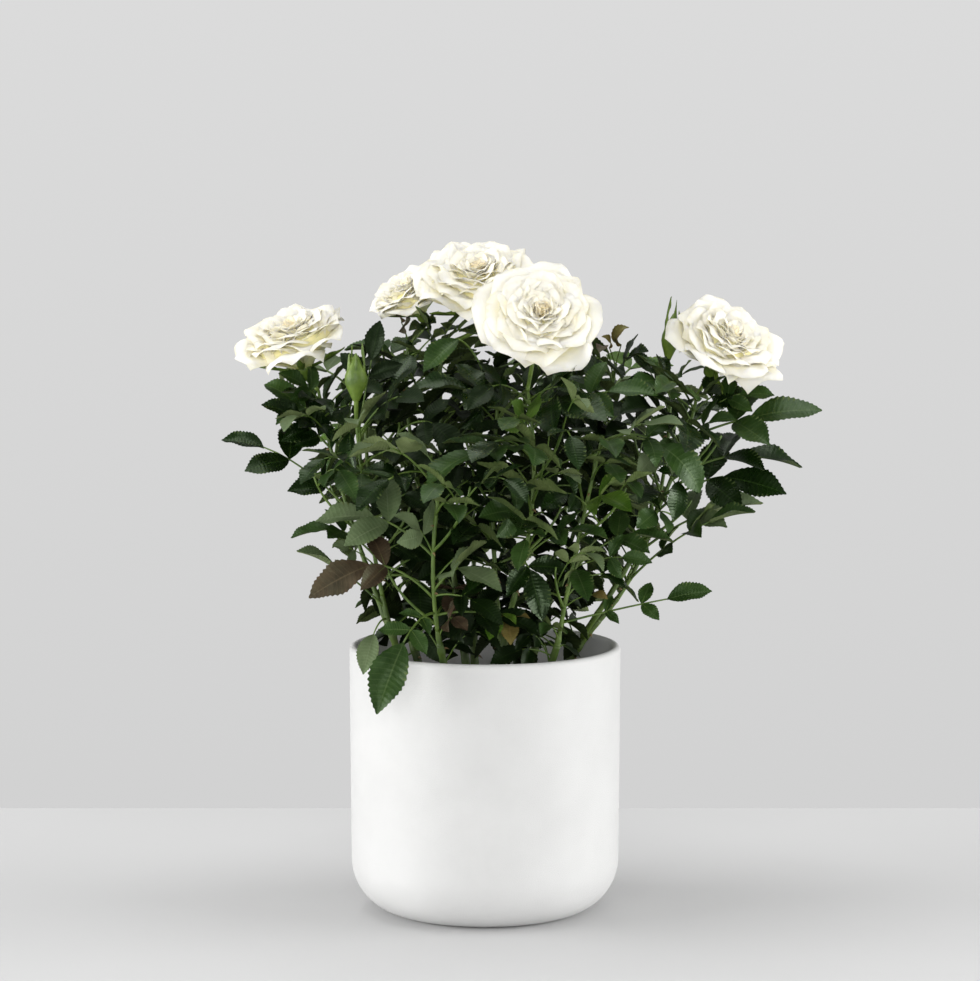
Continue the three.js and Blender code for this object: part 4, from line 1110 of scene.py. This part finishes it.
def petal(name, claw, body, edge):
    shader = Shader(name, subsurface_weight=0.4, subsurface_scale=0.0015, specular_ior_level=0.12)
    shader.surface.inputs["Subsurface Radius"].default_value = (1.0, 0.88, 0.5)
    # The claw end of the ramp holds painted light as well as the petal's own yellow: light through the petals
    # into the crevices.
    shade = shader.ramp(shader.v, (0.0, claw), (0.5, body), (0.92, edge))
    streaks = shader.ramp(shader.noise(420, 3), (0.35, 0.0), (0.8, 0.35))
    shader.colour(shader.blend(streaks, shade, body))
    shader.rough(shader.noise(500, 2), (0.48, 0.62))
    shader.bump(shader.noise(650, 3), FINE_RELIEF, 0.3)
    return shader.material


def plain(name, dark, light, scale, rough, relief_scale, relief, specular=0.5):
    """Two tones laid by noise, with a fine relief."""
    shader = Shader(name, specular_ior_level=specular)
    shader.colour(shader.ramp(shader.noise(scale, 5), (0.3, dark), (0.7, light)))
    shader.rough(shader.noise(scale * 3, 2), rough)
    shader.bump(shader.noise(relief_scale, 4), relief, 0.5)
    return shader.material


plains = {name: plain(name, *row) for name, row in PLAIN.items()}
petal_coats = [petal(f"petal_{name}", *colours) for name, colours in PETAL_TINTS.items()]

# ---- pieces

stem_nodes = [f"stem_{name}" for name in STEMS] + [f"bough_{name}" for name in SHOOTS]
mass_nodes = [f"foliage_{name}" for name in SHOOTS]
flower_nodes = [f"bloom_{name}" for name in BLOOMS] + [f"bud_{name}" for name in BUDS]

limbs.piece("stems", stem_nodes, "stem", plains["green_bark"], plains["thorn"])
twigs.piece("twigs", mass_nodes, "stem", plains["twig_green"], plains["thorn"])
for tint, parts in foliage.items():
    *top_looks, under_dark, under_light = LEAF_TINTS[tint]
    coats = leaf_top(f"leaf_{tint}", *top_looks), leaf_under(f"under_{tint}", under_dark, under_light)
    parts.piece(f"leaves_{tint}", mass_nodes, "leaves", *coats)
for name, parts in petals.items():
    parts.piece(f"petals_{name}", [f"bloom_{name}"], "petals", *petal_coats)
green.piece("sepals_and_buds", flower_nodes, "bud", plains["hip_green"], plains["hip_green"])
pot.piece("pot_body", ["pot"], "pot", plains["matt_glaze"])
soil.piece("potting_soil", ["soil"], "soil", plains["peat"], plains["perlite"])

# ---- floor, light and camera


def stage_floor():
    side, near, far = TABLE["side"], TABLE["near"], TABLE["far"]
    mesh = bpy.data.meshes.new("floor")
    corners = [(-side, near, 0), (side, near, 0), (side, far, 0), (-side, far, 0)]
    mesh.from_pydata(corners, [], [(0, 1, 2, 3)])
    mesh.materials.append(plains["table_top"])
    floor = place_object("floor", mesh)


def stage_light(name, place, target, size, power):
    lamp = bpy.data.lights.new(name, "AREA")
    lamp.shape, lamp.size, lamp.size_y, lamp.energy = "RECTANGLE", size[0], size[1], power
    holder = place_object(name, lamp)
    holder.location = place
    holder.rotation_euler = (Vector(target) - Vector(place)).to_track_quat("-Z", "Y").to_euler()


def stage_world():
    world = bpy.data.worlds.new("studio")
    world.use_nodes = True
    nodes, links = world.node_tree.nodes, world.node_tree.links
    coordinates = nodes.new("ShaderNodeTexCoord")
    split = nodes.new("ShaderNodeSeparateXYZ")
    ramp = nodes.new("ShaderNodeValToRGB")
    links.new(coordinates.outputs["Generated"], split.inputs[0])
    height = nodes.new("ShaderNodeMath")
    height.operation = "MULTIPLY_ADD"
    height.inputs[1].default_value, height.inputs[2].default_value = 2.5, 0.5
    links.new(split.outputs["Z"], height.inputs[0])
    links.new(height.outputs[0], ramp.inputs[0])
    for element, position, grey in zip(ramp.color_ramp.elements, (0.0, 0.5), BACKDROP):
        element.position, element.color = position, rgb(grey, grey, grey)
    links.new(ramp.outputs[0], nodes["Background"].inputs[0])
    glow = nodes.new("ShaderNodeBackground")
    glow.inputs[0].default_value, glow.inputs[1].default_value = (1, 1, 1, 1), AMBIENT
    either = nodes.new("ShaderNodeMixShader")
    links.new(nodes.new("ShaderNodeLightPath").outputs["Is Camera Ray"], either.inputs[0])
    links.new(glow.outputs[0], either.inputs[1])
    links.new(nodes["Background"].outputs[0], either.inputs[2])
    links.new(either.outputs[0], nodes["World Output"].inputs[0])
    bpy.context.scene.world = world


def stage_camera():
    camera = place_object("camera", bpy.data.cameras.new("camera"))
    camera.location = CAMERA["place"]
    camera.rotation_euler = (math.radians(90 - CAMERA["down"]), 0, 0)
    camera.data.sensor_width, camera.data.lens = CAMERA["sensor"], CAMERA["lens"]
    bpy.context.scene.camera = camera


stage_floor()
stage_world()
for name, row in LAMPS.items():
    stage_light(name, *row)
stage_camera()
bpy.context.scene.view_settings.view_transform = "Standard"
